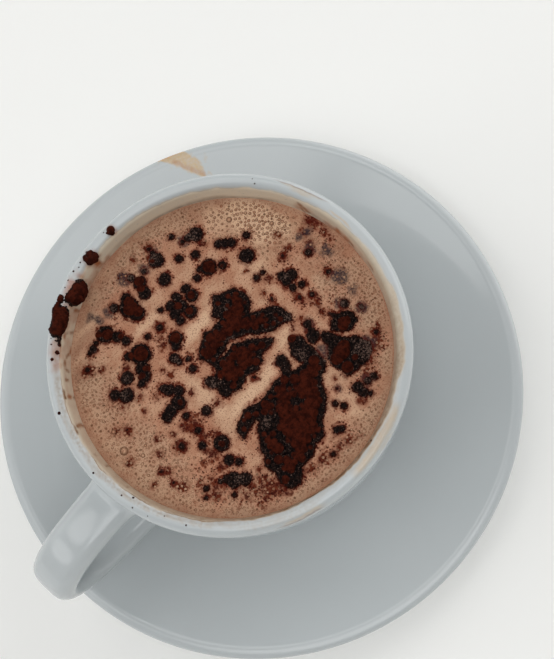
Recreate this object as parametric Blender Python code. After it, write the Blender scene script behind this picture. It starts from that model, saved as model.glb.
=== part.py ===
# Caffe mocha: a thick porcelain cup on its saucer, filled with coffee foam that carries cocoa.
# Metres, +Z up. The origin is on the table under the middle of the saucer, and the handle
# points to +X.
import math
import random

import bmesh
import bpy
from mathutils import Vector

MM = 0.001
GAP = 0.3 * MM                  # clearance between pieces that touch
TURN_STEPS = 56                 # facets round the cup, the saucer and the drink
MERGE = 0.05 * MM

# Saucer
SAUCER_RADIUS = 80.0 * MM
SAUCER_EDGE_Z = 18.0 * MM       # height of the rounded edge's middle
SAUCER_EDGE_ROUND = 2.0 * MM    # half the edge's thickness
SAUCER_EDGE_WIDTH = 3.4 * MM    # how far in from the edge its rounding starts
SAUCER_WALL = 3.8 * MM
WELL_RADIUS = 27.0 * MM
WELL_Z = 5.5 * MM
LEDGE_RADIUS = 29.0 * MM        # low step that keeps the cup in the middle
LEDGE_Z = 6.7 * MM
FLANGE_SWEEP = 1.22             # above 1 the flange steepens towards its edge
SAUCER_FOOT_OUTER = 48.0 * MM
SAUCER_FOOT_INNER = 44.0 * MM
SAUCER_FOOT_TOP = 3.8 * MM      # where the foot leaves the underside, outside
SAUCER_FOOT_BEVEL = 0.7 * MM
SAUCER_HOLLOW_Z = 3.4 * MM      # underside between the foot and the well
SAUCER_HOLLOW_RUN = 4.0 * MM
SAUCER_RECESS_Z = 1.9 * MM
FLANGE_STEPS = 5

# Cup
CUP_FOOT_Z = WELL_Z + GAP
CUP_FOOT_OUTER = 25.3 * MM
CUP_FOOT_INNER = 21.0 * MM
CUP_RECESS_Z = CUP_FOOT_Z + 2.4 * MM
CUP_FOOT_HEIGHT = 2.6 * MM
CUP_FOOT_BEVEL = 0.6 * MM
BOWL_START_RADIUS = 26.5 * MM
BOWL_START_Z = 10.0 * MM
LIP_RADIUS = 47.46 * MM         # widest point of the rolled lip
LIP_Z = 72.2 * MM
LIP_HALF_WIDTH = 2.2 * MM
LIP_RISE = 2.5 * MM             # crest above the widest point
LIP_START = 172.0               # degrees from outward where the lip leaves the throat
THROAT_HEIGHT = 3.0 * MM        # the straight throat above the foam
THROAT_SPREAD = 0.3 * MM        # how much it widens on the way
INSIDE_FLOOR_Z = 12.5 * MM
INSIDE_RADIUS = 42.3 * MM       # at the top of the curved inside
INSIDE_TOP_Z = 64.0 * MM
INSIDE_ROUNDNESS = 2.8
BOWL_STEPS = 7
OUTER_SPACING = 0.72            # below 1 the levels crowd towards the foot
INNER_SPACING = 2.4             # above 1 they crowd towards the floor
LIP_STEPS = 6

# Handle: its centre line as (distance from the cup's axis, height), and its section
HANDLE_LINE = ((43.9, 60.0), (53.5, 61.0), (65.5, 59.0), (74.2, 52.6), (75.6, 43.6),
               (69.5, 35.2), (57.0, 30.0), (38.3, 27.9))
HANDLE_SIDE = 0.4 * MM          # how far it sits off the cup's middle plane
HANDLE_WIDTH = 13.6 * MM
HANDLE_THICKNESS = 7.0 * MM
HANDLE_CORNER = 2.8 * MM
HANDLE_CORNER_STEPS = 3
HANDLE_RUNS = 3                 # rings between two points of the centre line
HANDLE_FLARE = 0.22             # how much wider the handle is where it joins the wall
HANDLE_FLARE_LENGTH = 5.0 * MM
WALL_RADIUS = 46.0 * MM

# Drink
FOAM_Z = 67.2 * MM
FOAM_RADIUS = 42.5 * MM

# Cocoa on the foam: lumps as (x, y, radius) in millimetres
COCOA_BASE_Z = FOAM_Z + GAP
COCOA_SIDE = ((-12, 19, 3.4), (-8.5, 20, 4.2), (-4, 22.5, 5.6), (-1, 18.6, 5), (2, 26, 6.2),
              (4, 19.5, 5), (7.5, 28, 6), (8.5, 22, 4.8), (11.5, 30.5, 4.8), (13.3, 33, 3.3),
              (13.4, 27.5, 3), (-7, 12.4, 2), (-6, 15, 2.5), (6.8, 15.8, 2.6), (9, 15, 2.4),
              (12.5, 16.3, 2.2), (-12.4, 15.4, 2.4), (-12.8, 12.2, 2.5))
COCOA_CENTRE = ((-15.5, 3.2, 3), (-16, 5.4, 1.8), (-13, 1.5, 3), (-11, -1, 3.4), (-8.2, -2.2, 3.4),
                (-10.5, -6, 4.2), (-12, -9.4, 2.8), (-8.6, -11.4, 2.7), (-6, -9.4, 2.1),
                (-5.4, -4.6, 4.3), (-0.5, -4.8, 4), (3.4, -4.6, 3.3), (1.6, 0, 3.5), (2.2, 3.2, 3.6),
                (4.6, 5.8, 2.9), (8, 5.6, 2.1), (8.8, 2.6, 2.3), (9.2, 0.6, 1.8), (-0.4, 6, 2.7),
                (-3.2, 5, 3.2), (-7.4, 5, 2.8))
COCOA_LEFT = ((-19.5, 21.8, 4.2), (-22.8, 25.4, 3), (-17.2, 25.4, 2.7), (-20.3, 17.2, 2.7),
              (-25.4, 17.4, 3.4), (-17.6, 13.8, 2), (-25, 13.9, 1.3))
COCOA_DROPS = ((-14.6, 31.8, 2.3), (-19, 32.2, 1.6), (-29.4, 13.8, 1.4), (-31.4, 18.2, 1.5),
               (-28.6, 25.2, 1.2), (-33.8, 8, 2), (-25.5, 5.6, 1.5),
               (-24.5, 1.8, 1.9), (-24.8, -2.4, 2.6), (-33.6, -2.2, 1.6), (-20, -8, 1.4),
               (-22.6, -14, 2.2), (-26.6, -18, 1.6), (-21, -21.2, 2.3), (-14, -19.8, 2.7),
               (-9.6, -20.4, 1.3), (-14, -25.2, 1.6), (-17.6, -28.8, 2.3), (-10.3, -27.8, 1.2),
               (-3.6, -26.8, 1.8), (-6.3, -32.4, 2.4), (-1.6, -16.2, 2.5), (1.6, -18.6, 2.7),
               (-5.2, -18.6, 2.2), (2.6, -28.6, 1.8), (1.8, -32.2, 2.5), (8.2, -28.4, 3.1),
               (10.4, -31.4, 2), (15.6, -24.6, 1.5), (17.8, -29, 2.9), (22.8, -28.8, 1.4),
               (27.4, -26, 1.4), (15.6, -18, 3), (18.6, -14, 2.4), (22.8, -16.4, 2.1),
               (26.4, -13.6, 2.3), (27.4, -16.4, 1.6), (6.4, -13.6, 2.1), (10.4, -9.6, 1.7),
               (6.8, -18.9, 1.3), (18, -1.8, 2.3), (22.2, -2.2, 2.4), (16.2, -4.2, 1.8),
               (17.8, -6.6, 1.8), (15.2, 5.2, 1.5), (19.7, 2.2, 1.3), (20.6, 6.6, 1.5),
               (26.2, 6.8, 1.6), (22.6, 10.4, 1.2), (18.8, 13.6, 2.1), (20.4, 17.6, 1.7),
               (19.4, 20.6, 1.2), (22.2, 23.4, 2.6), (24.8, 22.6, 2), (30, 18.8, 1.3),
               (34.4, 7, 1.2), (-3.4, 34.6, 1.4), (-8.6, 31.4, 1.2))
DROP_HEIGHT_MOST = 1.2 * MM
PATCH_HEIGHT_MOST = 2.0 * MM
HEIGHT_SHARE = 0.42             # a lump's height as a share of its radius
RIM_HEIGHT_SHARE = 0.72         # the same for lumps on the lip
CRUMB_HEIGHT_SHARE = 0.6
FINE_LUMP = 1.9 * MM            # lumps under this radius have fewer faces
FLATNESS = 0.65                 # below 1 a lump has a flatter top
CUTTER_DEPTH = 6.0 * MM

# Cocoa on the lip: lumps as (angle round the cup in degrees, distance from the axis, height,
# radius), the last three in millimetres
RIM_LONG = ((-54.2, 45.6, 74.4, 1.9), (-56.5, 44.8, 74.7, 2.5), (-59.5, 44.4, 74.7, 2.7),
            (-62.3, 44.0, 74.3, 2.1), (-63.8, 46.2, 74.1, 1.7), (-53.2, 43.9, 74.1, 1.3))
RIM_ROUND = ((-67.4, 43.6, 73.2, 2.3), (-71.8, 43.6, 73.2, 2.3), (-69.6, 42.7, 71.4, 2.6),
             (-69.6, 42.0, 69.9, 1.8))
RIM_CRUMBS = ((-83.2, 44.3, 74.3, 1.7), (-94.7, 45.4, 74.5, 1.2))

# Finishes as (colour, roughness)
PORCELAIN = ((0.60, 0.66, 0.69), 0.12)
FOAM = ((0.46, 0.27, 0.17), 0.55)
COCOA = ((0.045, 0.014, 0.009), 0.70)


def clear_scene():
    for obj in list(bpy.data.objects):
        bpy.data.objects.remove(obj, do_unlink=True)


def new_material(name, finish):
    colour, roughness = finish
    material = bpy.data.materials.new(name)
    material.use_nodes = True
    shader = material.node_tree.nodes["Principled BSDF"]
    shader.inputs["Base Color"].default_value = (*colour, 1.0)
    shader.inputs["Roughness"].default_value = roughness
    shader.inputs["Metallic"].default_value = 0.0
    return material


def new_object(name, mesh, collection=None):
    obj = bpy.data.objects.new(name, mesh)
    (collection or bpy.context.scene.collection).objects.link(obj)
    return obj


def keep_result(obj):
    # Swap the object's mesh for the one its modifiers give.
    graph = bpy.context.evaluated_depsgraph_get()
    graph.update()
    result = bpy.data.meshes.new_from_object(obj.evaluated_get(graph))
    obj.modifiers.clear()
    obj.data = result


def finish_object(obj, material, smooth_angle=35.0):
    obj.data.materials.clear()
    obj.data.materials.append(material)
    obj.data.shade_smooth()
    obj.data.set_sharp_from_angle(angle=math.radians(smooth_angle))


def arc(centre_r, centre_z, radius_r, radius_z, start, end, steps):
    # Points of an elliptical arc, with the angles in degrees from the outward direction.
    points = []
    for i in range(steps + 1):
        angle = math.radians(start + (end - start) * i / steps)
        points.append((centre_r + radius_r * math.cos(angle), centre_z + radius_z * math.sin(angle)))
    return points


def turned(name, outline, closed=False):
    # Turn an outline of (radius, height) about +Z. It runs down its outer side.
    mesh = bpy.data.meshes.new(name)
    count = len(outline)
    edges = [(i, i + 1) for i in range(count - 1)]
    if closed:
        edges.append((count - 1, 0))
    mesh.from_pydata([(r, 0.0, z) for r, z in outline], edges, [])
    obj = new_object(name, mesh)
    screw = obj.modifiers.new("Turn", 'SCREW')
    screw.steps = TURN_STEPS
    screw.render_steps = TURN_STEPS
    screw.use_merge_vertices = True
    screw.merge_threshold = MERGE
    keep_result(obj)
    return obj


def flange_height(radius):
    # Top of the saucer between the ledge and the edge.
    edge_top = SAUCER_EDGE_Z + SAUCER_EDGE_ROUND
    reach = (radius - LEDGE_RADIUS) / (SAUCER_RADIUS - SAUCER_EDGE_WIDTH - LEDGE_RADIUS)
    return LEDGE_Z + (edge_top - LEDGE_Z) * reach ** FLANGE_SWEEP


def make_saucer(material):
    edge_r = SAUCER_RADIUS - SAUCER_EDGE_WIDTH
    step_r, step_z = (WELL_RADIUS + LEDGE_RADIUS) / 2, (WELL_Z + LEDGE_Z) / 2
    outline = [(0.0, WELL_Z), (WELL_RADIUS, WELL_Z), (step_r, step_z)]
    for i in range(FLANGE_STEPS):
        radius = LEDGE_RADIUS + (edge_r - LEDGE_RADIUS) * i / FLANGE_STEPS
        outline.append((radius, flange_height(radius)))
    outline += arc(edge_r, SAUCER_EDGE_Z, SAUCER_EDGE_WIDTH, SAUCER_EDGE_ROUND, 90, -90, 6)
    bevel = SAUCER_FOOT_BEVEL
    under_start = SAUCER_FOOT_OUTER + 3 * bevel
    for i in range(1, FLANGE_STEPS - 1):
        radius = edge_r - (edge_r - under_start) * i / (FLANGE_STEPS - 2)
        outline.append((radius, flange_height(radius) - SAUCER_WALL))
    outline += [(SAUCER_FOOT_OUTER, SAUCER_FOOT_TOP), (SAUCER_FOOT_OUTER - bevel / 2, bevel),
                (SAUCER_FOOT_OUTER - 1.5 * bevel, 0.0), (SAUCER_FOOT_INNER + bevel, 0.0),
                (SAUCER_FOOT_INNER, bevel), (SAUCER_FOOT_INNER - bevel, SAUCER_HOLLOW_Z),
                (SAUCER_FOOT_INNER - SAUCER_HOLLOW_RUN, SAUCER_HOLLOW_Z),
                (WELL_RADIUS, SAUCER_RECESS_Z), (0.0, SAUCER_RECESS_Z)]
    saucer = turned("saucer", outline)
    finish_object(saucer, material)
    return saucer


def inside_radius(height):
    # Inside of the bowl: a superellipse from the middle of the floor up to the straight throat.
    share = min(1.0, (height - INSIDE_FLOOR_Z) / (INSIDE_TOP_Z - INSIDE_FLOOR_Z))
    return INSIDE_RADIUS * (1.0 - (1.0 - share) ** INSIDE_ROUNDNESS) ** (1.0 / INSIDE_ROUNDNESS)


def inside_outline():
    # Floor to throat, with the levels closer together near the floor.
    outline = [(0.0, INSIDE_FLOOR_Z)]
    for i in range(1, BOWL_STEPS + 1):
        height = INSIDE_FLOOR_Z + (INSIDE_TOP_Z - INSIDE_FLOOR_Z) * (i / BOWL_STEPS) ** INNER_SPACING
        outline.append((inside_radius(height), height))
    return outline


def lip_outline(clearance=0.0):
    # Up the throat and over the rolled lip, to its widest point outside.
    throat = FOAM_RADIUS - clearance
    centre_r = LIP_RADIUS - LIP_HALF_WIDTH
    return [(throat, FOAM_Z), (throat + THROAT_SPREAD, FOAM_Z + THROAT_HEIGHT)] \
        + arc(centre_r, LIP_Z, LIP_HALF_WIDTH + clearance, LIP_RISE + clearance, LIP_START, 0, LIP_STEPS)


def make_cup(material):
    outline = inside_outline() + lip_outline()
    for i in range(1, BOWL_STEPS + 1):
        share = 1.0 - (i / BOWL_STEPS) ** OUTER_SPACING
        height = BOWL_START_Z + (LIP_Z - BOWL_START_Z) * share
        swell = math.sqrt(1.0 - (1.0 - share) ** 2)
        outline.append((BOWL_START_RADIUS + (LIP_RADIUS - BOWL_START_RADIUS) * swell, height))
    bevel = CUP_FOOT_BEVEL
    outline += [(CUP_FOOT_OUTER, CUP_FOOT_Z + CUP_FOOT_HEIGHT), (CUP_FOOT_OUTER, CUP_FOOT_Z + bevel),
                (CUP_FOOT_OUTER - bevel, CUP_FOOT_Z), (CUP_FOOT_INNER + bevel, CUP_FOOT_Z),
                (CUP_FOOT_INNER, CUP_FOOT_Z + bevel), (CUP_FOOT_INNER - bevel, CUP_RECESS_Z),
                (0.0, CUP_RECESS_Z)]
    cup = turned("cup", outline)
    additions = bpy.data.collections.new("cup_additions")
    bpy.context.scene.collection.children.link(additions)
    make_handle(additions)
    for angle, distance, height, radius in RIM_CRUMBS:
        place = rim_place(angle, distance, height)
        make_lump("crumb", place, radius * MM, CRUMB_HEIGHT_SHARE * radius * MM, additions)
    join_collection(cup, additions)
    finish_object(cup, material)
    return cup


def handle_point(step):
    # Catmull-Rom curve through the centre line's points.
    knots = [Vector(knot) * MM for knot in HANDLE_LINE]
    knots = [2 * knots[0] - knots[1]] + knots + [2 * knots[-1] - knots[-2]]
    index = min(int(step), len(HANDLE_LINE) - 2)
    t = step - index
    a, b, c, d = knots[index:index + 4]
    return 0.5 * (2 * b + (c - a) * t + (2 * a - 5 * b + 4 * c - d) * t ** 2
                  + (3 * b - a - 3 * c + d) * t ** 3)


def handle_section():
    # Rounded rectangle as (across, outward) pairs.
    across = HANDLE_WIDTH / 2 - HANDLE_CORNER
    outward = HANDLE_THICKNESS / 2 - HANDLE_CORNER
    section = []
    for sign_a, sign_o, start in ((1, 1, 0), (-1, 1, 90), (-1, -1, 180), (1, -1, 270)):
        for part in range(HANDLE_CORNER_STEPS + 1):
            angle = math.radians(start + 90 * part / HANDLE_CORNER_STEPS)
            section.append((sign_a * across + HANDLE_CORNER * math.cos(angle),
                            sign_o * outward + HANDLE_CORNER * math.sin(angle)))
    return section


def make_handle(collection):
    mesh = bmesh.new()
    section = handle_section()
    rings = []
    last_step = len(HANDLE_LINE) - 1
    for i in range(last_step * HANDLE_RUNS + 1):
        step = i / HANDLE_RUNS
        centre = handle_point(step)
        ahead = handle_point(min(step + 0.01, last_step)) - handle_point(max(step - 0.01, 0.0))
        ahead.normalize()
        outward = Vector((-ahead.y, ahead.x))
        flare = 1.0 + HANDLE_FLARE * math.exp(-max(centre.x - WALL_RADIUS, 0.0) / HANDLE_FLARE_LENGTH)
        ring = []
        for across, rise in section:
            place = centre + outward * rise * flare
            ring.append(mesh.verts.new((place.x, across * flare + HANDLE_SIDE, place.y)))
        rings.append(ring)
    for first, second in zip(rings, rings[1:]):
        for i in range(len(section)):
            j = (i + 1) % len(section)
            mesh.faces.new((first[i], first[j], second[j], second[i]))
    mesh.faces.new(rings[0])
    mesh.faces.new(rings[-1])
    bmesh.ops.recalc_face_normals(mesh, faces=mesh.faces)
    data = bpy.data.meshes.new("handle")
    mesh.to_mesh(data)
    mesh.free()
    return new_object("handle", data, collection)


def make_lump(name, place, radius, height, collection=None):
    # A flattened ball of clotted cocoa, turned by its own angle.
    mesh = bmesh.new()
    bmesh.ops.create_icosphere(mesh, subdivisions=1 if radius < FINE_LUMP else 2, radius=1.0)
    data = bpy.data.meshes.new(name)
    mesh.to_mesh(data)
    mesh.free()
    turn = random.Random(round((place.x + 2 * place.y) * 1e5)).uniform(0.0, math.tau)
    for vertex in data.vertices:
        x, y, z = vertex.co
        vertex.co = (place.x + radius * (x * math.cos(turn) - y * math.sin(turn)),
                     place.y + radius * (x * math.sin(turn) + y * math.cos(turn)),
                     place.z + height * math.copysign(abs(z) ** FLATNESS, z))
    return new_object(name, data, collection)


def join_collection(obj, collection):
    union = obj.modifiers.new("Join", 'BOOLEAN')
    union.operation = 'UNION'
    union.operand_type = 'COLLECTION'
    union.collection = collection
    keep_result(obj)
    for extra in list(collection.objects):
        bpy.data.objects.remove(extra, do_unlink=True)
    bpy.data.collections.remove(collection)


def cut_away(obj, cutter):
    # Take the cutter out of the object, and remove the cutter.
    cut = obj.modifiers.new("Cut", 'BOOLEAN')
    cut.operation = 'DIFFERENCE'
    cut.object = cutter
    keep_result(obj)
    bpy.data.objects.remove(cutter, do_unlink=True)


def make_drink(material):
    outline = [(0.0, FOAM_Z), (FOAM_RADIUS - GAP, FOAM_Z)]
    levels = inside_outline()[1:]
    outline += [(radius - GAP, height + GAP) for radius, height in reversed(levels)]
    outline.append((0.0, INSIDE_FLOOR_Z + GAP))
    drink = turned("mocha", outline)
    drops = bpy.data.collections.new("drops")
    bpy.context.scene.collection.children.link(drops)
    for x, y, radius in COCOA_DROPS:
        height = min(HEIGHT_SHARE * radius * MM, DROP_HEIGHT_MOST)
        make_lump("drop", Vector((x * MM, y * MM, FOAM_Z)), radius * MM, height, drops)
    join_collection(drink, drops)
    finish_object(drink, material)
    return drink


def make_lumps(name, lumps):
    # Join a run of (place, radius, height) lumps into one body.
    first, *rest = lumps
    body = make_lump(name, *first)
    others = bpy.data.collections.new(name + "_lumps")
    bpy.context.scene.collection.children.link(others)
    for lump in rest:
        make_lump("lump", *lump, others)
    join_collection(body, others)
    return body


def make_patch(name, lumps, material):
    placed = []
    for x, y, radius in lumps:
        height = min(HEIGHT_SHARE * radius * MM, PATCH_HEIGHT_MOST)
        placed.append((Vector((x * MM, y * MM, COCOA_BASE_Z)), radius * MM, height))
    patch = make_lumps(name, placed)
    box = bmesh.new()
    bmesh.ops.create_cube(box, size=1.0)
    bmesh.ops.scale(box, vec=(2 * FOAM_RADIUS, 2 * FOAM_RADIUS, CUTTER_DEPTH), verts=box.verts)
    bmesh.ops.translate(box, vec=(0.0, 0.0, COCOA_BASE_Z - CUTTER_DEPTH / 2), verts=box.verts)
    data = bpy.data.meshes.new("foam_level")
    box.to_mesh(data)
    box.free()
    cut_away(patch, new_object("foam_level", data))
    finish_object(patch, material)
    return patch


def rim_place(angle, distance, height):
    turn = math.radians(angle)
    return Vector((distance * math.cos(turn), distance * math.sin(turn), height)) * MM


def make_rim_clump(name, lumps, material):
    # Cocoa that has stuck on the lip: lumps with the lip taken out of them.
    placed = [(rim_place(angle, distance, height), radius * MM, RIM_HEIGHT_SHARE * radius * MM)
              for angle, distance, height, radius in lumps]
    clump = make_lumps(name, placed)
    outline = lip_outline(GAP) + [(LIP_RADIUS + GAP, FOAM_Z)]
    cut_away(clump, turned("lip_clearance", outline, closed=True))
    finish_object(clump, material)
    return clump


clear_scene()
porcelain = new_material("glazed_porcelain", PORCELAIN)
foam = new_material("coffee_foam", FOAM)
cocoa = new_material("cocoa", COCOA)
make_saucer(porcelain)
make_cup(porcelain)
make_drink(foam)
make_patch("cocoa_side", COCOA_SIDE, cocoa)
make_patch("cocoa_centre", COCOA_CENTRE, cocoa)
make_patch("cocoa_left", COCOA_LEFT, cocoa)
make_rim_clump("cocoa_rim_long", RIM_LONG, cocoa)
make_rim_clump("cocoa_rim_round", RIM_ROUND, cocoa)
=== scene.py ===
from functools import partial, reduce
from math import atan2, cos, dist, exp, hypot, pi, radians, sin

import bpy
import numpy as np
from mathutils import Matrix, Vector
from mathutils.geometry import delaunay_2d_cdt


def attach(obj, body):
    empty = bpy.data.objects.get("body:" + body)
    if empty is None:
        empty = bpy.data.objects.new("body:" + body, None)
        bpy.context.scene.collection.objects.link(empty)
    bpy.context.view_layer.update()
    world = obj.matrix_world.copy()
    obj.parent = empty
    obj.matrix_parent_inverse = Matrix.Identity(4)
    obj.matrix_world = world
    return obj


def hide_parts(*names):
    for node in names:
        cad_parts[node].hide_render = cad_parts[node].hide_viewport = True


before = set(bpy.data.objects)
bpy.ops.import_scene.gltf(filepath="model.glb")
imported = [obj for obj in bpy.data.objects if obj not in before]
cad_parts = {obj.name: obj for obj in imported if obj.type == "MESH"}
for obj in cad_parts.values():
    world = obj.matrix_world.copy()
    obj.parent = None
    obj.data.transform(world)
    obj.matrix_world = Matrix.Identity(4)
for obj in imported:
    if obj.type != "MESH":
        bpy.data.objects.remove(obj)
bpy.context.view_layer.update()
mm = 0.001


# Helpers for numbers

def linear(hexColour):
    channels = [int(hexColour[i:i + 2], 16) / 255 for i in (1, 3, 5)]
    return tuple(c / 12.92 if c <= 0.04045 else ((c + 0.055) / 1.055) ** 2.4 for c in channels) + (1.0,)


def smooth(low, high, value):
    # 0 below low, 1 above high, with a soft turn between; low may be the larger.
    share = np.clip((value - low) / (high - low), 0.0, 1.0)
    return share * share * (3 - 2 * share)


def softNoise(x, y, *layers):
    # A soft random field. Each layer is (weight, size over which it changes, seed).
    field = 0.0
    for weight, size, seed in layers:
        table = np.random.default_rng(seed).uniform(-1.0, 1.0, (128, 128))
        i, j = np.floor(x / size).astype(int), np.floor(y / size).astype(int)
        s, t = smooth(0, 1, x / size - i), smooth(0, 1, y / size - j)
        near, far = (table[i % 128, k % 128] * (1 - s) + table[(i + 1) % 128, k % 128] * s
                     for k in (j, j + 1))
        field = field + weight * (near * (1 - t) + far * t)
    return field


def spotField(x, y, spots):
    # How far each place lies inside the nearest round spot (x, y, radius); negative outside.
    return reduce(np.maximum, (radius - np.hypot(x - a, y - b) for a, b, radius in spots))


def zoneField(x, y, zones):
    # The strongest of several soft oval zones (x, y, half width, half length, weight).
    return reduce(np.maximum, (weight * smooth(1.25, 0.5, np.hypot((x - a) / halfX, (y - b) / halfY))
                               for a, b, halfX, halfY, weight in zones))


def lineField(x, y, points):
    # Distance to an open run of points (x, y).
    nearest = np.full(np.shape(x), 1e9)
    for (ax, ay), (bx, by) in zip(points, points[1:]):
        dx, dy = bx - ax, by - ay
        share = np.clip(((x - ax) * dx + (y - ay) * dy) / (dx * dx + dy * dy), 0.0, 1.0)
        nearest = np.minimum(nearest, np.hypot(x - ax - share * dx, y - ay - share * dy))
    return nearest


def outlineField(x, y, *outlines):
    # How far each place lies inside the nearest of some closed outlines; negative outside.
    fields = []
    for outline in outlines:
        closed = outline + outline[:1]
        inside = np.zeros(np.shape(x), bool)
        for (ax, ay), (bx, by) in zip(closed, closed[1:]):
            if ay != by:
                inside ^= ((ay > y) != (by > y)) & (x < ax + (y - ay) * (bx - ax) / (by - ay))
        nearest = lineField(x, y, closed)
        fields.append(np.where(inside, nearest, -nearest))
    return np.maximum.reduce(fields)


def spread(x, y, gaps, seed):
    # Indexes of places kept in random order, no two closer than the mean of their gaps.
    cell = float(np.max(gaps)) if len(x) else 1.0
    taken, kept = {}, []
    for n in np.random.default_rng(seed).permutation(len(x)):
        i, j = int(x[n] // cell), int(y[n] // cell)
        near = [m for a in (i - 1, i, i + 1) for b in (j - 1, j, j + 1) for m in taken.get((a, b), ())]
        if all(hypot(x[n] - x[m], y[n] - y[m]) >= 0.5 * (gaps[n] + gaps[m]) for m in near):
            taken.setdefault((i, j), []).append(n)
            kept.append(n)
    return np.array(kept, int)


# Helpers for meshes

def polar(radius, turn, height):
    # Points at a distance from the axis, for numbers or arrays.
    return np.stack(np.broadcast_arrays(radius * np.cos(turn), radius * np.sin(turn), height), -1)


def newPiece(name, points, faces, material, attributes):
    # A smooth piece in the row frame, with a number at each point for every attribute.
    mesh = bpy.data.meshes.new(name)
    mesh.from_pydata(np.asarray(points, float) * mm, [], faces)
    mesh.shade_smooth()
    for key, values in attributes.items():
        layer = mesh.attributes.new(key, 'FLOAT', 'POINT')
        layer.data.foreach_set("value", np.asarray(values, np.float32))
    mesh.materials.append(material)
    piece = bpy.data.objects.new(name, mesh)
    bpy.context.scene.collection.objects.link(piece)
    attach(piece, "root")
    print(name + ":", len(points), "points")
    return piece


def ringFaces(one, two):
    # The band of faces between two closed rings of point numbers.
    return [list(face) for face in zip(one, one[1:] + one[:1], two[1:] + two[:1], two)]


def addRing(points, ring):
    # Adds a ring of points and gives their numbers.
    points += [tuple(p) for p in ring]
    return list(range(len(points) - len(ring), len(points)))


def addLump(points, faces, rings, top, under):
    # A closed lump of rings of points, from the lowest up, with a point above and one below them.
    rings = [addRing(points, ring) for ring in rings]
    peak, base = addRing(points, (top, under))
    for low, high in zip(rings, rings[1:]):
        faces += ringFaces(low, high)
    last, first = rings[-1], rings[0]
    for k in range(len(last)):
        m = (k + 1) % len(last)
        faces += [[last[k], last[m], peak], [first[m], first[k], base]]


def turnOutline(outline, angles):
    # Points, rows and faces of an outline of (radius, height) turned about +Z; radius 0 is a pole.
    points, rows, faces = [], [], []
    for radius, height in outline:
        row = addRing(points, polar(radius, angles if radius > 0 else np.zeros(1), height))
        rows.append(row if len(row) > 1 else row * len(angles))
    for upper, lower in zip(rows, rows[1:]):
        for corners in zip(upper, lower, lower[1:] + lower[:1], upper[1:] + upper[:1]):
            faces.append([c for i, c in enumerate(corners) if c != corners[i - 1]])
    return points, rows, faces


def cutGrid(field):
    # Cells of a grid where the field is positive, cut along its zero line. Gives places in grid
    # units as rows and columns, the faces, and the edges of the cut.
    high, wide = field.shape
    total = high * wide
    inside = field > 0
    cases = inside[:-1, :-1] * 1 + inside[:-1, 1:] * 2 + inside[1:, 1:] * 4 + inside[1:, :-1] * 8
    faces, cuts = [], []
    for i, j in zip(*np.nonzero(cases)):
        case, first = cases[i, j], i * wide + j
        corners = (first, first + 1, first + wide + 1, first + wide)
        sides = (total + first, 2 * total + first + 1, total + first + wide, 2 * total + first)
        if case == 15:
            faces.append(list(corners))
        elif case in (5, 10):               # two corners that only touch across the cell
            for k in ((0, 2) if case == 5 else (1, 3)):
                faces.append([sides[k - 1], corners[k], sides[k]])
                cuts.append((sides[k], sides[k - 1]))
        else:
            face = []
            for k in range(4):
                here, after = case >> k & 1, case >> (k + 1) % 4 & 1
                if here:
                    face.append(corners[k])
                if here != after:
                    face.append(sides[k])
            faces.append(face)
            cuts += [(a, b) for a, b in zip(face, face[1:] + face[:1]) if a >= total and b >= total]
    used = np.unique(np.concatenate([np.asarray(f) for f in faces]))
    order = {int(u): n for n, u in enumerate(used)}
    base = used % total
    row, column = (base // wide).astype(float), (base % wide).astype(float)
    flat = field.ravel()
    for kind, step, moved in ((1, 1, column), (2, wide, row)):
        on = used // total == kind
        here, after = flat[base[on]], flat[np.minimum(base[on] + step, total - 1)]
        moved[on] += np.clip(here / (here - after), 0.1, 0.9)
    faces, cuts = ([[order[int(v)] for v in run] for run in runs] for runs in (faces, cuts))
    return row, column, faces, cuts


def readGrid(values, row, column):
    # Values of a grid at places between its points.
    i = np.minimum(row.astype(int), values.shape[0] - 2)
    j = np.minimum(column.astype(int), values.shape[1] - 2)
    s, t = row - i, column - j
    near, far = (values[i, k] * (1 - s) + values[i + 1, k] * s for k in (j, j + 1))
    return near * (1 - t) + far * t


# Helpers for materials

softTurn = {"interpolation_type": 'SMOOTHSTEP'}     # a Map Range that eases at both ends
colours = {"data_type": 'RGBA'}                     # a Mix of two colours


def addNode(tree, kind, *values, output=None, **named):
    # Values fill the sockets in order, a name is a socket's or else a setting's, and the output of
    # another node is linked. Gives the node's first live output, or the one asked for.
    node = tree.nodes.new("ShaderNode" + kind)
    sockets = {s.identifier: s for s in node.inputs}
    sockets.update(enumerate(node.inputs))
    for key, value in [*named.items(), *enumerate(values)]:
        if key not in sockets:
            setattr(node, key, value)
        elif isinstance(value, bpy.types.NodeSocket):
            tree.links.new(value, sockets[key])
        else:
            sockets[key].default_value = value
    return node.outputs[output] if output else next((s for s in node.outputs if s.enabled), None)


def newMaterial(name):
    # An empty material, the function that adds nodes to it, and its own coordinates in metres.
    material = bpy.data.materials.new(name)
    material.use_nodes = True
    material.node_tree.nodes.clear()
    add = partial(addNode, material.node_tree)
    return material, add, add("TexCoord", output="Object")


# Camera, light and floor

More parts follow.
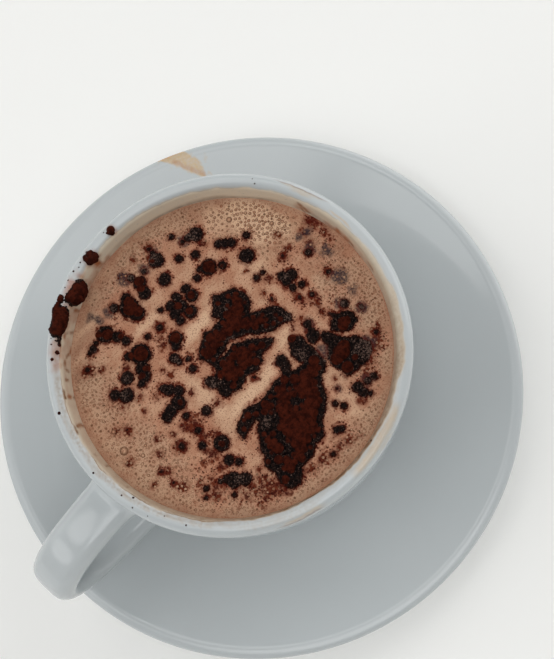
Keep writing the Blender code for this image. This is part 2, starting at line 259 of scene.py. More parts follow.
view = {
    "place": (13.3, 70.4, 345.2),           # the lens, above the cup and a little to its side
    "look": (-0.0935, -0.2344, -1.0), "up": (-0.7501, -0.6613, 0.0),
    "lens": 60.09, "sensor": 36.0, "clipStart": 10.0,
    "skyHex": "#F4F4F3",                    # white walls of a studio
    "horizonStrength": 0.47, "zenithStrength": 0.27, "zenithFrom": 0.95,
    # Round softboxes as (degrees about +Z, degrees up, degrees to the edge, strength).
    "softboxes": ((60.0, 71.0, 26.0, 2.45), (182.0, 10.0, 44.0, 1.85), (-62.0, 32.0, 31.0, 1.1),
                  (245.0, 67.0, 15.0, 1.8), (-30.0, 61.0, 13.0, 2.1), (-18.0, 33.0, 15.0, 1.9)),
    "softboxCore": 0.5,                     # share of a softbox that is evenly bright
    "floorHex": "#FAFAF8", "floorRoughness": 0.85,
    "toothScale": 900.0,                    # per metre, so brush marks of about 1.1 mm
    "floorHalf": 10000.0, "floorGap": 0.02,  # the gap keeps the floor just under the saucer's foot
}


def makeView():
    camera = bpy.data.objects.new("camera", bpy.data.cameras.new("camera"))
    bpy.context.scene.collection.objects.link(camera)
    bpy.context.scene.camera = camera
    back = -Vector(view["look"]).normalized()
    across = Vector(view["up"]).cross(back).normalized()
    turn = Matrix((across, back.cross(across), back)).transposed().to_4x4()
    camera.matrix_world = Matrix.Translation(Vector(view["place"]) * mm) @ turn
    camera.data.lens = view["lens"]
    camera.data.sensor_width = view["sensor"]
    camera.data.clip_start = view["clipStart"] * mm

    world = bpy.data.worlds.new("softStudio")
    bpy.context.scene.world = world
    world.use_nodes = True
    world.node_tree.nodes.clear()
    add = partial(addNode, world.node_tree)
    sky = add("TexCoord", output="Generated")
    upward = add("SeparateXYZ", sky, output="Z")
    strength = add("MapRange", upward, 0.0, view["zenithFrom"], view["horizonStrength"],
                   view["zenithStrength"], **softTurn)
    for degrees in view["softboxes"]:
        heading, rise, toEdge = (radians(d) for d in degrees[:3])
        middle = polar(cos(rise), heading, sin(rise))
        towards = add("VectorMath", sky, middle, operation='DOT_PRODUCT')
        glow = add("MapRange", towards, cos(toEdge), cos(view["softboxCore"] * toEdge), 0.0,
                   degrees[3], **softTurn)
        strength = add("Math", strength, glow, operation='ADD')
    add("OutputWorld", Surface=add("Background", linear(view["skyHex"]), strength))

    # Matt painted board: plain and pale, with hardly any tooth.
    board, add, place = newMaterial("paintedBoard")
    tooth = add("TexNoise", Vector=place, Scale=view["toothScale"], Detail=2.0)
    bump = add("Bump", Height=tooth, Strength=0.05, Distance=0.0002)
    add("OutputMaterial", Surface=add("BsdfPrincipled", linear(view["floorHex"]), Normal=bump,
                                      Roughness=view["floorRoughness"]))
    mesh = bpy.data.meshes.new("floor")
    half = view["floorHalf"] * mm
    corners = [(-half, -half, 0), (half, -half, 0), (half, half, 0), (-half, half, 0)]
    mesh.from_pydata(corners, [], [(0, 1, 2, 3)])
    mesh.materials.append(board)
    floor = bpy.data.objects.new("floor", mesh)
    floor.location.z = -view["floorGap"] * mm
    bpy.context.scene.collection.objects.link(floor)
    bpy.context.scene.view_settings.view_transform = 'Standard'
    print("camera, softboxes and floor are made")


# Porcelain

porcelain = {
    "bodyHex": "#BDC2C4",                   # cool grey white under a clear glaze
    "cloudHex": "#B8BEC0", "cloudSize": 30.0,
    # What each attribute paints on the glaze, in order: milk film, in a colour lighter than a real film so
    # that it is partly painted light on the inner wall, coffee drips, dark and red brown marks of cocoa,
    # where the dark also holds painted shade, and the foot that stays unglazed.
    "stains": {"film": "#E3D8C3", "drip": "#C8A060", "dark": "#7A5A40", "rust": "#A05A30",
               "foot": "#B9AFA2"},
    "stainGrain": 0.9, "roughness": 0.07, "filmRoughness": 0.32, "ior": 1.52,
    "waveSize": 7.0,                        # slow unevenness of a glaze fired on a turned body
    "pinSize": 0.8,                         # orange peel, coarser than the real 0.3 mm so that it shows
}


def makePorcelain():
    # Hard-paste porcelain, jiggered, dipped in clear glaze and fired: the eye gets a cool white
    # with a sharp wet gloss, broken by dried coffee where the drink has been.
    material, add, place = newMaterial("glazedPorcelain")
    cloud = add("TexNoise", Vector=place, Scale=1 / (porcelain["cloudSize"] * mm), Detail=2.0)
    colour = add("Mix", **colours, Factor_Float=cloud, A_Color=linear(porcelain["bodyHex"]),
                 B_Color=linear(porcelain["cloudHex"]))
    # Grain eats into the edge of each stain, and leaves its middle whole.
    grain = add("TexNoise", Vector=place, Scale=1 / (porcelain["stainGrain"] * mm), Detail=3.0,
                Roughness=0.6)
    broken = add("Math", grain, 0.9, -0.45, operation='MULTIPLY_ADD')
    masks = {}
    for name, stain in porcelain["stains"].items():
        amount = add("Attribute", output="Fac", attribute_name=name)
        eaten = add("Math", broken, amount, operation='MULTIPLY')
        masks[name] = add("Math", amount, eaten, operation='ADD', use_clamp=True)
        colour = add("Mix", **colours, Factor_Float=masks[name], A_Color=colour, B_Color=linear(stain))
    dull = add("Math", masks["film"], masks["foot"], operation='MAXIMUM')
    rough = add("MapRange", dull, 0.0, 1.0, porcelain["roughness"], porcelain["filmRoughness"])
    wave = add("TexNoise", Vector=place, Scale=1 / (porcelain["waveSize"] * mm), Detail=1.0)
    slow = add("Bump", Height=wave, Strength=0.05, Distance=0.0003)
    pin = add("TexNoise", Vector=place, Scale=1 / (porcelain["pinSize"] * mm), Detail=1.0)
    fine = add("Bump", Height=pin, Strength=0.05, Distance=0.00005, Normal=slow)
    add("OutputMaterial", Surface=add("BsdfPrincipled", colour, Roughness=rough, Normal=fine,
                                      IOR=porcelain["ior"]))
    return material


# Saucer

saucer = {
    "radius": 80.0, "edgeWidth": 2.5, "edgeZ": 18.2, "edgeRound": 1.6, "wall": 3.8, "meetTurn": 120.0,
    "wellRadius": 27.0, "wellZ": 5.5, "ledgeRadius": 29.0, "ledgeZ": 6.7, "sweep": 1.22, "stepSoftness": 0.3,
    "fineRadius": 66.0, "thickenWidth": 8.0, "undersideRadius": 50.0, "rimWear": (78.8, 79.8),
    "foot": ((48, 3.8), (47.9, 2.2), (47.6, 0.7), (47, 0), (44.6, 0), (44, 0.7), (43.7, 2),
        (43.4, 3.2), (40, 3.6), (27, 1.9), (0, 1.9)),
    # A dried drip on the rim: it starts at the edge and narrows towards the cup.
    "drip": [(-40, -56.8), (-38.9, -58.6), (-38.4, -60.6), (-37.6, -63), (-37, -65.2), (-35.8, -67.6),
        (-35.2, -70), (-33.6, -72.6), (-38, -72), (-41.6, -68.2), (-42, -66), (-41.9, -64.4),
        (-42.8, -63.2), (-42.8, -61.4), (-41.8, -59.4), (-40.6, -57.4)],
    "rust": [(-40.4, -58.2), (-39.9, -59.4), (-39.3, -60.6), (-38.6, -62.4), (-37.8, -64.2), (-37.9, -65.8),
        (-37, -67.3)],
    "dripSector": (-133, -108), "fineTurn": 0.25, "plainTurn": 1.5,
}


def flangeHeight(radius):
    # Rises to meet the rounded edge where both have the same slope.
    meet = radians(saucer["meetTurn"])
    end = saucer["radius"] - saucer["edgeWidth"] * (1 - cos(meet))
    top = saucer["edgeZ"] + saucer["edgeRound"] * sin(meet)
    reach = (radius - saucer["ledgeRadius"]) / (end - saucer["ledgeRadius"])
    return saucer["ledgeZ"] + (top - saucer["ledgeZ"]) * np.maximum(reach, 0.0) ** saucer["sweep"]


def makeSaucer(material):
    wide, high, edgeZ = saucer["edgeWidth"], saucer["edgeRound"], saucer["edgeZ"]
    edge, meet = saucer["radius"] - wide, saucer["meetTurn"]
    well, wellZ, soft = saucer["wellRadius"], saucer["wellZ"], saucer["stepSoftness"]
    ledge, ledgeZ, fine = saucer["ledgeRadius"], saucer["ledgeZ"], saucer["fineRadius"]
    outline = [(r, wellZ) for r in (0.0, 5, 10, 15, 20, 24, 26, well - soft)]
    for share in np.arange(1, 8) / 8:       # soft step up to the ledge
        outline.append((well - soft + (ledge - well + 2 * soft) * share,
                        wellZ + (ledgeZ - wellZ) * smooth(0, 1, share)))
    last = edge + wide * cos(radians(meet))
    flange = [*np.linspace(ledge + 2 * soft, fine, 46), *np.linspace(fine + 0.4, last, 28)]
    outline += [(r, flangeHeight(r)) for r in flange]
    for a in np.radians(meet - (meet + 90) * np.arange(1, 28) / 28):    # round the edge
        outline.append((edge + wide * cos(a), edgeZ + high * sin(a)))
    start = flangeHeight(edge) - edgeZ + high
    # The underside of the flange soon comes to the wall's thickness.
    for r in np.linspace(edge, saucer["undersideRadius"], 24):
        thick = start + (saucer["wall"] - start) * smooth(edge, edge - saucer["thickenWidth"], r)
        outline.append((r, flangeHeight(r) - thick))
    outline += saucer["foot"]

    # Fine columns where the dried drip is, and wide ones elsewhere.
    first, last = saucer["dripSector"]
    angles = [*np.arange(first, last, saucer["fineTurn"]),
              *np.arange(last, first + 360.0, saucer["plainTurn"])]
    points, _, faces = turnOutline(outline, np.radians(angles))
    x, y, z = np.array(points).T
    top = z > flangeHeight(np.hypot(x, y)) - wide
    ragged = softNoise(x, y, (0.5, 1.1, 11), (0.3, 0.5, 12))
    inside = outlineField(x, y, saucer["drip"])
    drip = smooth(-0.35, 0.45, inside + 0.5 * ragged) * (0.62 + 0.12 * ragged) * top
    flecks = smooth(-3.2, 0.4, inside + 2.0 * ragged) * smooth(0.15, 0.6, ragged)
    drip = np.maximum(drip, 0.30 * flecks * top)
    rust = smooth(1.0, 0.1, lineField(x, y, saucer["rust"]) + softNoise(x, y, (0.5, 2.2, 13))) * 0.30 * top
    rim = smooth(*saucer["rimWear"], np.hypot(x, y)) * (0.5 + softNoise(x, y, (0.5, 6.0, 14)))
    rust = np.maximum(rust, 0.5 * rim * smooth(-1.0, 1.5, inside))
    marks = {"film": 0 * z, "drip": drip, "dark": 0 * z, "rust": rust, "foot": smooth(0.35, 0.05, z)}
    piece = newPiece("saucerBody", points, faces, material, marks)
    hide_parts("saucer")


# Cup

cup = {
    "footOutline": ((25.3, 8.4), (25.3, 7), (25.1, 6.2), (24.7, 5.8), (21.6, 5.8), (21.2, 6.2),
        (21, 7), (20.4, 8.2), (0, 8.2)),
    "bowlRadius": 26.5, "bowlZ": 10.0, "bendZ": 30.0,
    "lipRadius": 47.46, "lipZ": 72.2, "lipHalf": 2.2, "lipRise": 2.5,
    "floorZ": 12.5, "insideRadius": 42.3, "insideTop": 64.0, "roundness": 2.8,
    "throat": ((42.42, 65.6), (42.5, 67.2), (42.58, 68.2), (42.68, 69.2), (42.8, 70.2), (42.93, 71.4)),
    "turns": 600,
    # The handle's centre line as (distance from the axis, height), and its section.
    "handleLine": ((43.9, 60), (53.5, 61), (65.5, 59), (74.2, 52.6), (75.6, 43.6), (69.5, 35.2),
        (57, 30), (38.3, 27.9)),
    "handleSide": 0.4, "handleWidth": 13.6, "handleThickness": 6.5, "handleCorner": 3.1, "handleCrown": 0.7,
    "flare": 0.10, "flareLength": 5.0, "wallRadius": 46.0, "fillet": 3.4,
    "sectionSteps": 15, "sectionGap": 0.8, "lineSteps": 481, "alongSteps": 120, "filletSteps": 9,
    # The window in the wall round the handle's feet: below, above, radians to a side, and the
    # strip along the feet that is kept clear of the wall's own points.
    "windowBelow": 1.5, "windowAbove": 1.0, "windowSide": 0.03, "windowClear": 0.35,
}


def wallRadius(z):
    share = np.clip((np.asarray(z, float) - cup["bowlZ"]) / (cup["lipZ"] - cup["bowlZ"]), 0.0, 1.0)
    return cup["bowlRadius"] + (cup["lipRadius"] - cup["bowlRadius"]) * np.sqrt(1 - (1 - share) ** 2)


def lipOutline():
    # From the throat at the foam, over the rolled lip, to its widest point outside; and the way
    # over the lip to each of these points, from the second on.
    half = cup["lipHalf"]
    lip = list(cup["throat"]) + [
        (cup["lipRadius"] - half + half * cos(a), cup["lipZ"] + cup["lipRise"] * sin(a))
        for a in np.radians(np.linspace(172.0, 0.0, 34))]
    steps = np.hypot(*np.diff(np.array(lip[1:]), axis=0).T)
    return lip, np.concatenate([[0.0], np.cumsum(steps)])


def insideOutline():
    outline = [(0.0, cup["floorZ"])]
    for share in (np.linspace(0, 1, 20) ** 2.4)[1:]:
        radius = cup["insideRadius"] * (1 - (1 - share) ** cup["roundness"]) ** (1 / cup["roundness"])
        outline.append((radius, cup["floorZ"] + (cup["insideTop"] - cup["floorZ"]) * share))
    return outline


def handlePoint(step):
    # Catmull-Rom curve through the handle's centre line.
    knots = [Vector(k) for k in cup["handleLine"]]
    knots = [2 * knots[0] - knots[1]] + knots + [2 * knots[-1] - knots[-2]]
    index = min(int(step), len(cup["handleLine"]) - 2)
    t = step - index
    a, b, c, d = knots[index:index + 4]
    square, cube = 2 * a - 5 * b + 4 * c - d, 3 * b - a - 3 * c + d
    return 0.5 * (2 * b + (c - a) * t + square * t ** 2 + cube * t ** 3)


def handleSection():
    # Rounded rectangle as (across, outward), a little crowned on its broad faces.
    half, thick, corner = cup["handleWidth"] / 2, cup["handleThickness"] / 2, cup["handleCorner"]
    section = []
    for sideA, sideO, start in ((1, 1, 0), (-1, 1, 90), (-1, -1, 180), (1, -1, 270)):
        for k in range(cup["sectionSteps"]):
            a = radians(start + 90 * k / (cup["sectionSteps"] - 1))
            section.append((sideA * (half - corner) + corner * cos(a),
                            sideO * (thick - corner) + corner * sin(a)))
    dense = []
    for (ax, ay), (bx, by) in zip(section, section[1:] + section[:1]):
        pieces = max(1, round(hypot(bx - ax, by - ay) / cup["sectionGap"]))
        dense += [(ax + (bx - ax) * k / pieces, ay + (by - ay) * k / pieces) for k in range(pieces)]
    dense = [p for p, q in zip(dense, dense[-1:] + dense[:-1]) if dist(p, q) > 1e-4]
    return [(a, o * (1 + cup["handleCrown"] / thick * (1 - (a / half) ** 2))) for a, o in dense]


def handleLines():
    # One line along the handle for each point of the section, as arrays of (x, y, z).
    frames, end = [], len(cup["handleLine"]) - 1
    for step in np.linspace(0, end, cup["lineSteps"]):
        centre = handlePoint(step)
        ahead = (handlePoint(min(step + 0.01, end)) - handlePoint(max(step - 0.01, 0.0))).normalized()
        flare = 1 + cup["flare"] * exp(-max(centre.x - cup["wallRadius"], 0.0) / cup["flareLength"])
        frames.append((centre, Vector((-ahead.y, ahead.x)), flare))
    return [np.array([(c.x + n.x * outward * f, across * f + cup["handleSide"], c.y + n.y * outward * f)
                      for c, n, f in frames]) for across, outward in handleSection()]


def handleMeet(line, atStart):
    # Where one line of the handle meets the wall, and the step along it where its fillet ends.
    order = np.arange(len(line)) if atStart else np.arange(len(line))[::-1]
    out = np.hypot(line[:, 0], line[:, 1]) - wallRadius(line[:, 2])
    crossing = next(n for n in range(len(order) - 1) if out[order[n]] <= 0 < out[order[n + 1]])
    a, b = order[crossing], order[crossing + 1]
    meet = line[a] + (line[b] - line[a]) * (out[a] / (out[a] - out[b]))
    far = crossing + 1
    while np.linalg.norm(line[order[far]] - meet) < cup["fillet"]:
        far += 1
    return meet, order[far]


def makeHandle(points, faces, rows, heights, angles):
    # The handle runs out of the wall through rounded fillets. The wall's faces near it are taken
    # out and laid again round its two feet, on the wall unrolled flat as (way round, height).
    lines = handleLines()
    flat = cup["wallRadius"]
    ends = []
    for atStart in (True, False):
        meets, starts = zip(*(handleMeet(line, atStart) for line in lines))
        meets = np.array(meets)
        middle = meets.mean(axis=0)
        middle = np.array([flat * atan2(middle[1], middle[0]), middle[2]])
        foot = np.stack([flat * np.arctan2(meets[:, 1], meets[:, 0]), meets[:, 2]], -1) - middle
        # The foot stands a fillet's width outside the line where handle and wall meet.
        run = np.roll(foot, -1, 0) - np.roll(foot, 1, 0)
        normal = np.stack([run[:, 1], -run[:, 0]], -1)
        normal /= np.linalg.norm(normal, axis=1)[:, None]
        normal *= np.sign((normal * foot).sum(1))[:, None]
        ends.append((meets, starts, [tuple(p) for p in foot + normal * cup["fillet"] + middle]))

    # Take out the wall's faces in a window round both feet.
    feet = [foot for _, _, foot in ends]
    low = min(z for foot in feet for _, z in foot) - cup["windowBelow"]
    high = max(z for foot in feet for _, z in foot) + cup["windowAbove"]
    side = max(abs(way) for foot in feet for way, _ in foot) + cup["windowSide"] * flat
    window = [n for n, z in enumerate(heights) if low <= z <= high]
    window = list(range(min(window) - 1, max(window) + 2))
    ways = [((a + pi) % (2 * pi) - pi) * flat for a in angles]
    columns = sorted((k for k, way in enumerate(ways) if abs(way) <= side), key=lambda k: ways[k])
    inner = {rows[r][k] for r in window for k in columns}
    faces[:] = [f for f in faces if not all(v in inner for v in f)]

    # Lay the wall again between the window's border and the feet.
    spotX, spotY = np.meshgrid([ways[k] for k in columns], [heights[r] for r in window])
    clear = outlineField(spotX, spotY, *feet) < -cup["windowClear"]
    clear[[0, -1]] = clear[:, [0, -1]] = True
    places = [(spotX[i, j], spotY[i, j]) for i, j in zip(*np.nonzero(clear))]
    numbers = [rows[window[i]][columns[j]] for i, j in zip(*np.nonzero(clear))]
    placeOf = {v: n for n, v in enumerate(numbers)}
    upper, lower = ([rows[r][k] for k in columns] for r in (window[0], window[-1]))
    first, last = ([rows[r][k] for r in window[1:-1]] for k in (columns[0], columns[-1]))
    border = upper + last + lower[::-1] + first[::-1]
    edges = [(placeOf[a], placeOf[b]) for a, b in zip(border, border[1:] + border[:1])]
    loops = []
    for foot in feet:
        way, z = np.array(foot).T
        loops.append(addRing(points, polar(wallRadius(z), way / flat, z)))
        edges += [(len(places) + n, len(places) + (n + 1) % len(foot)) for n in range(len(foot))]
        places += foot
        numbers += loops[-1]
    made, _, sheet, origin, _, _ = delaunay_2d_cdt([Vector(p) for p in places], edges, [], 0, 1e-6)
    middles = np.array([np.mean([made[v] for v in triangle], axis=0) for triangle in sheet])
    wanted = outlineField(*middles.T, *feet) < 0
    faces += [[numbers[origin[v][0]] for v in triangle] for triangle, keep in zip(sheet, wanted) if keep]

    # Fillets at both ends, and the rings of the handle between them.
    chains = []
    for (meets, starts, _), loop in zip(ends, loops):
        foot = np.array([points[v] for v in loop])
        near = np.array([line[s] for line, s in zip(lines, starts)])
        chains.append([loop])
        for t in np.arange(1, cup["filletSteps"] + 1) / cup["filletSteps"]:
            chains[-1].append(addRing(points, (1 - t) ** 2 * foot + 2 * t * (1 - t) * meets + t * t * near))
    chain = chains[0]
    for k in range(1, cup["alongSteps"]):
        ring = []
        for line, first, last in zip(lines, ends[0][1], ends[1][1]):
            at = first + (last - first) * (k / cup["alongSteps"])
            n = min(int(at), len(line) - 2)
            ring.append(line[n] + (line[n + 1] - line[n]) * (at - n))
        chain.append(addRing(points, ring))
    chain += chains[1][::-1]
    for one, two in zip(chain, chain[1:]):
        faces += ringFaces(one, two)


lipMarks = {
    # On the lip, as (degrees about +Z, millimetres up from the foam over the lip) and sizes.
    "filmEnd": ((-180, 7.1), (-165, 6.6), (-150, 6.3), (-115, 6.4), (-90, 6.9), (-60, 6.8), (0, 6.9),
        (40, 6.9), (70, 6.7), (100, 7.4), (118, 7.8), (125, 8.6), (145, 8.4), (165, 7.8), (180, 7.1)),
    # Where the thin dusty film beyond it ends.
    "paleEnd": ((-180, 7.7), (-150, 6.8), (-110, 7.1), (-88, 7.4), (-60, 8.7), (-30, 9), (0, 8.8),
        (40, 8.6), (50, 9.9), (70, 9.9), (76, 8.3), (92, 8.3), (100, 9.6), (108, 8.4), (125, 9),
        (150, 8.8), (165, 8.2), (180, 7.7)),
    # How brown the film is, and how strong the tide band just above the foam. The brownness by angle is
    # partly painted shade: browner where the inner wall faces away from the main light, lighter where it
    # faces it.
    "filmBrownAndShade": ((-180, 0.16), (-165, 0.10), (-140, 0.03), (-110, 0), (-80, 0.08), (-50, 0.18),
        (-19, 0.28), (11, 0.48), (41, 0.62), (71, 1), (101, 0.86), (131, 0.54), (161, 0.32), (180, 0.16)),
    "tideBand": ((-180, 0.35), (-160, 0.12), (-148, 0.50), (-120, 0.60), (-100, 0.40), (-88, 0.20),
        (-50, 0.08), (0, 0.10), (60, 0), (120, 0), (150, 0.10), (180, 0.35)),
    "drips": (((-51.5, -0.5), (-50.2, 0.8), (-48.6, 2.3), (-47, 3.6), (-45.2, 4.1), (-43.4, 3.7),
        (-42.8, 2)), ((-45.6, 4), (-44.8, 5)), ((-39.6, 2.6), (-39.2, 4.6)), ((-34, -0.2),
        (-33.6, 1.2)), ((-33.5, 3), (-33.1, 4.8)), ((-35, 6.5), (-32.4, 6.4)), ((-22.9, 0.8),
        (-22.7, 3.6), (-22.2, 5.6)), ((-21.8, 6.6), (-19.4, 6.7)), ((-84.2, 2.4), (-83.4, 4),
        (-82.8, 5.4)), ((-57.5, 0), (-56.6, 2.4)), ((-56, 4.4), (-54.6, 5.6)), ((-65.6, 0.2),
        (-64.8, 3)), ((-168, 1.8), (-164, 4.6)), ((-166.5, 0.4), (-165, 2.6)), ((164, 2.4),
        (160, 3)), ((178.5, 1.4), (172, 2)), ((5, 2.5), (5.4, 4.8)), ((-10.4, 3.6), (-10.8, 5)),
        ((-5.8, 1), (-5.4, 3.4))),
    # Powder washed thinly over the film, as (degrees, travel, half width, half length, weight).
    "washes": ((-86, 0.8, 3.2, 1.9, 0.75), (-83.4, 4, 1.9, 2.8, 0.95), (-78, 1.4, 3.6, 2.8, 0.66),
        (-83.4, 6.9, 3, 3, 0.90), (-94.8, 8, 1.9, 2, 0.75), (-69.5, 6, 6.8, 4.2, 0.80),
        (-63, 3, 3.6, 3.6, 0.70), (-58, 7, 6.6, 4, 0.70), (-50.5, 0.6, 2.4, 1.8, 0.75),
        (-48, 7.6, 7, 2.6, 0.48), (-50, 3.2, 8, 4, 0.42), (-38, 4.2, 4.6, 0.9, 0.35),
        (-33.3, 4, 1.3, 1.8, 0.7), (-22.6, 3.2, 1.4, 3.2, 0.6), (177.5, 1.8, 5, 2.2, 0.95),
        (-177.5, 1.2, 3.4, 2.2, 0.8), (-166, 2.6, 3.8, 2.6, 0.55), (166, 2.2, 6.4, 1.5, 0.35),
        (-28, 2.2, 30, 4.5, 0.14)),
    # Lines and tints outside the film, as (from, to, travel, half width, weight); the second line, dark at
    # the lip's outer edge, is partly a drip line and partly painted shade.
    "outerLines": ((-173.5, -154.5, 9.5, 0.28, 0.55), (58, 73, 11.1, 0.5, 0.5)),
    "tints": ((-168, -160.5, 8.7, 0.8, 0.30), (-171, -157, 9.2, 0.4, 0.28),
        (60, 73, 10.4, 0.8, 0.35), (96, 104, 10.8, 1.2, 0.20), (86, 112, 9, 1.8, 0.40),
        (174.5, 183.5, 7.9, 0.4, 0.45)),
}


def lipPaint(turn, travel):
    # Film, dark, drip and rust marks on the lip, from the turn in degrees and the travel over the lip.
    # The film's light colour is partly painted light, and its brownness partly painted shade.
    around = cup["wallRadius"] * radians(1)    # millimetres for a degree
    along = around * turn
    filmEnd, paleEnd, filmBrownAndShade, tideBand = (
        np.interp(turn, *zip(*lipMarks[key])) for key in ("filmEnd", "paleEnd", "filmBrownAndShade", "tideBand"))
    uneven = softNoise(along, travel, (0.35, 4.0, 21), (0.18, 1.2, 22))
    # Where the film lies; its colour is lighter than a real film, as painted light on the inner wall.
    film = smooth(0.4, -0.3, travel - filmEnd + uneven)
    streaky = softNoise(along, 0.5 * travel, (1.0, 1.6, 28))
    sway = softNoise(along, 0 * along, (0.7, 6.0, 24))
    band = tideBand * smooth(1.6, 0.3, np.abs(travel - 0.9 + sway)) * (1 + 0.3 * streaky)
    dustySide = smooth(-64, -56, turn) * smooth(46, 36, turn)
    rimLine = smooth(0.24, 0.05, np.abs(travel - filmEnd + 0.05 + uneven))
    rimLine *= smooth(-0.9, 0.2, softNoise(along, 0 * along, (1.0, 5.0, 25))) * (0.35 + 0.55 * dustySide)
    # The film's brownness holds painted shade as well as coffee.
    dark = np.maximum(film * (filmBrownAndShade * (1 + 0.14 * streaky) + band), rimLine)
    for run in lipMarks["drips"]:
        away = lineField(along, travel, [(around * a, t) for a, t in run])
        dark = np.maximum(dark, smooth(1.0, 0.0, away + softNoise(along, travel, (0.25, 0.9, 27))))
    rust = 0 * travel
    for angle, middle, halfAlong, halfTravel, weight in lipMarks["washes"]:
        away = np.hypot((along - around * angle) / halfAlong, (travel - middle) / halfTravel)
        patch = smooth(1.15, 0.35, away + softNoise(along, travel, (0.30, 1.3, 23)))
        rust = np.maximum(rust, weight * patch * (0.8 + 0.3 * streaky))
    # Fine dust beyond the film, thickest on the side where the powder was spilt.
    sandy = smooth(0.5, -0.6, travel - paleEnd + 0.8 * uneven) * smooth(-0.2, 0.4, travel - filmEnd)
    sandy *= 0.75 + softNoise(along, travel, (0.6, 0.5, 29), (0.12, 1.4, 19))
    dark = np.maximum(dark, (0.10 + 0.16 * dustySide) * sandy)
    drip = (0.08 + 0.08 * dustySide) * sandy
    for field, marks in ((dark, "outerLines"), (drip, "tints")):
        for first, last, middle, half, weight in lipMarks[marks]:
            within = smooth(first - 2, first + 3, turn) * smooth(last + 2, last - 3, turn)
            if last > 180:                  # it runs on past the seam
                within = np.maximum(within, smooth(last - 358, last - 361, turn))
            patch = weight * within * smooth(1.0, 0.2, np.abs(travel - middle + uneven) / half)
            np.maximum(field, patch, out=field)
    return {"film": film, "drip": drip, "dark": dark, "rust": rust}


def makeCup(material):
    lip, lipWay = lipOutline()
    inner, foot = insideOutline(), list(cup["footOutline"])
    low, bend = cup["bowlZ"], cup["bendZ"]  # rows draw closer together where the wall turns under
    wallZ = [*np.linspace(cup["lipZ"] - 0.5, bend, 60),
             *(low + (bend - low) * (1 - np.linspace(0, 1, 22)[1:]) ** 2)]
    outline = inner + lip + [(float(wallRadius(z)), z) for z in wallZ] + foot
    angles = np.arange(cup["turns"]) * 2 * pi / cup["turns"]
    points, rows, faces = turnOutline(outline, angles)
    hidden = -99.0                          # rows that aren't on the wall outside
    makeHandle(points, faces, rows, [hidden] * len(inner + lip) + wallZ + [hidden] * len(foot), angles)

    # How far each point of the lathe lies over the lip; the paint ends well below 99.
    travel = np.full(len(points), 99.0)
    ways = [-0.2] * (len(inner) + 1) + list(lipWay) + [lipWay[-1] + cup["lipZ"] - z for z in wallZ]
    for row, way in zip(rows, ways):
        travel[row] = way
    x, y, z = np.array(points).T
    marks = lipPaint(np.degrees(np.arctan2(y, x)), travel)
    marks["foot"] = smooth(6.05, 5.85, z)
    piece = newPiece("cupBody", points, faces, material, marks)
    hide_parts("cup")


# Cocoa

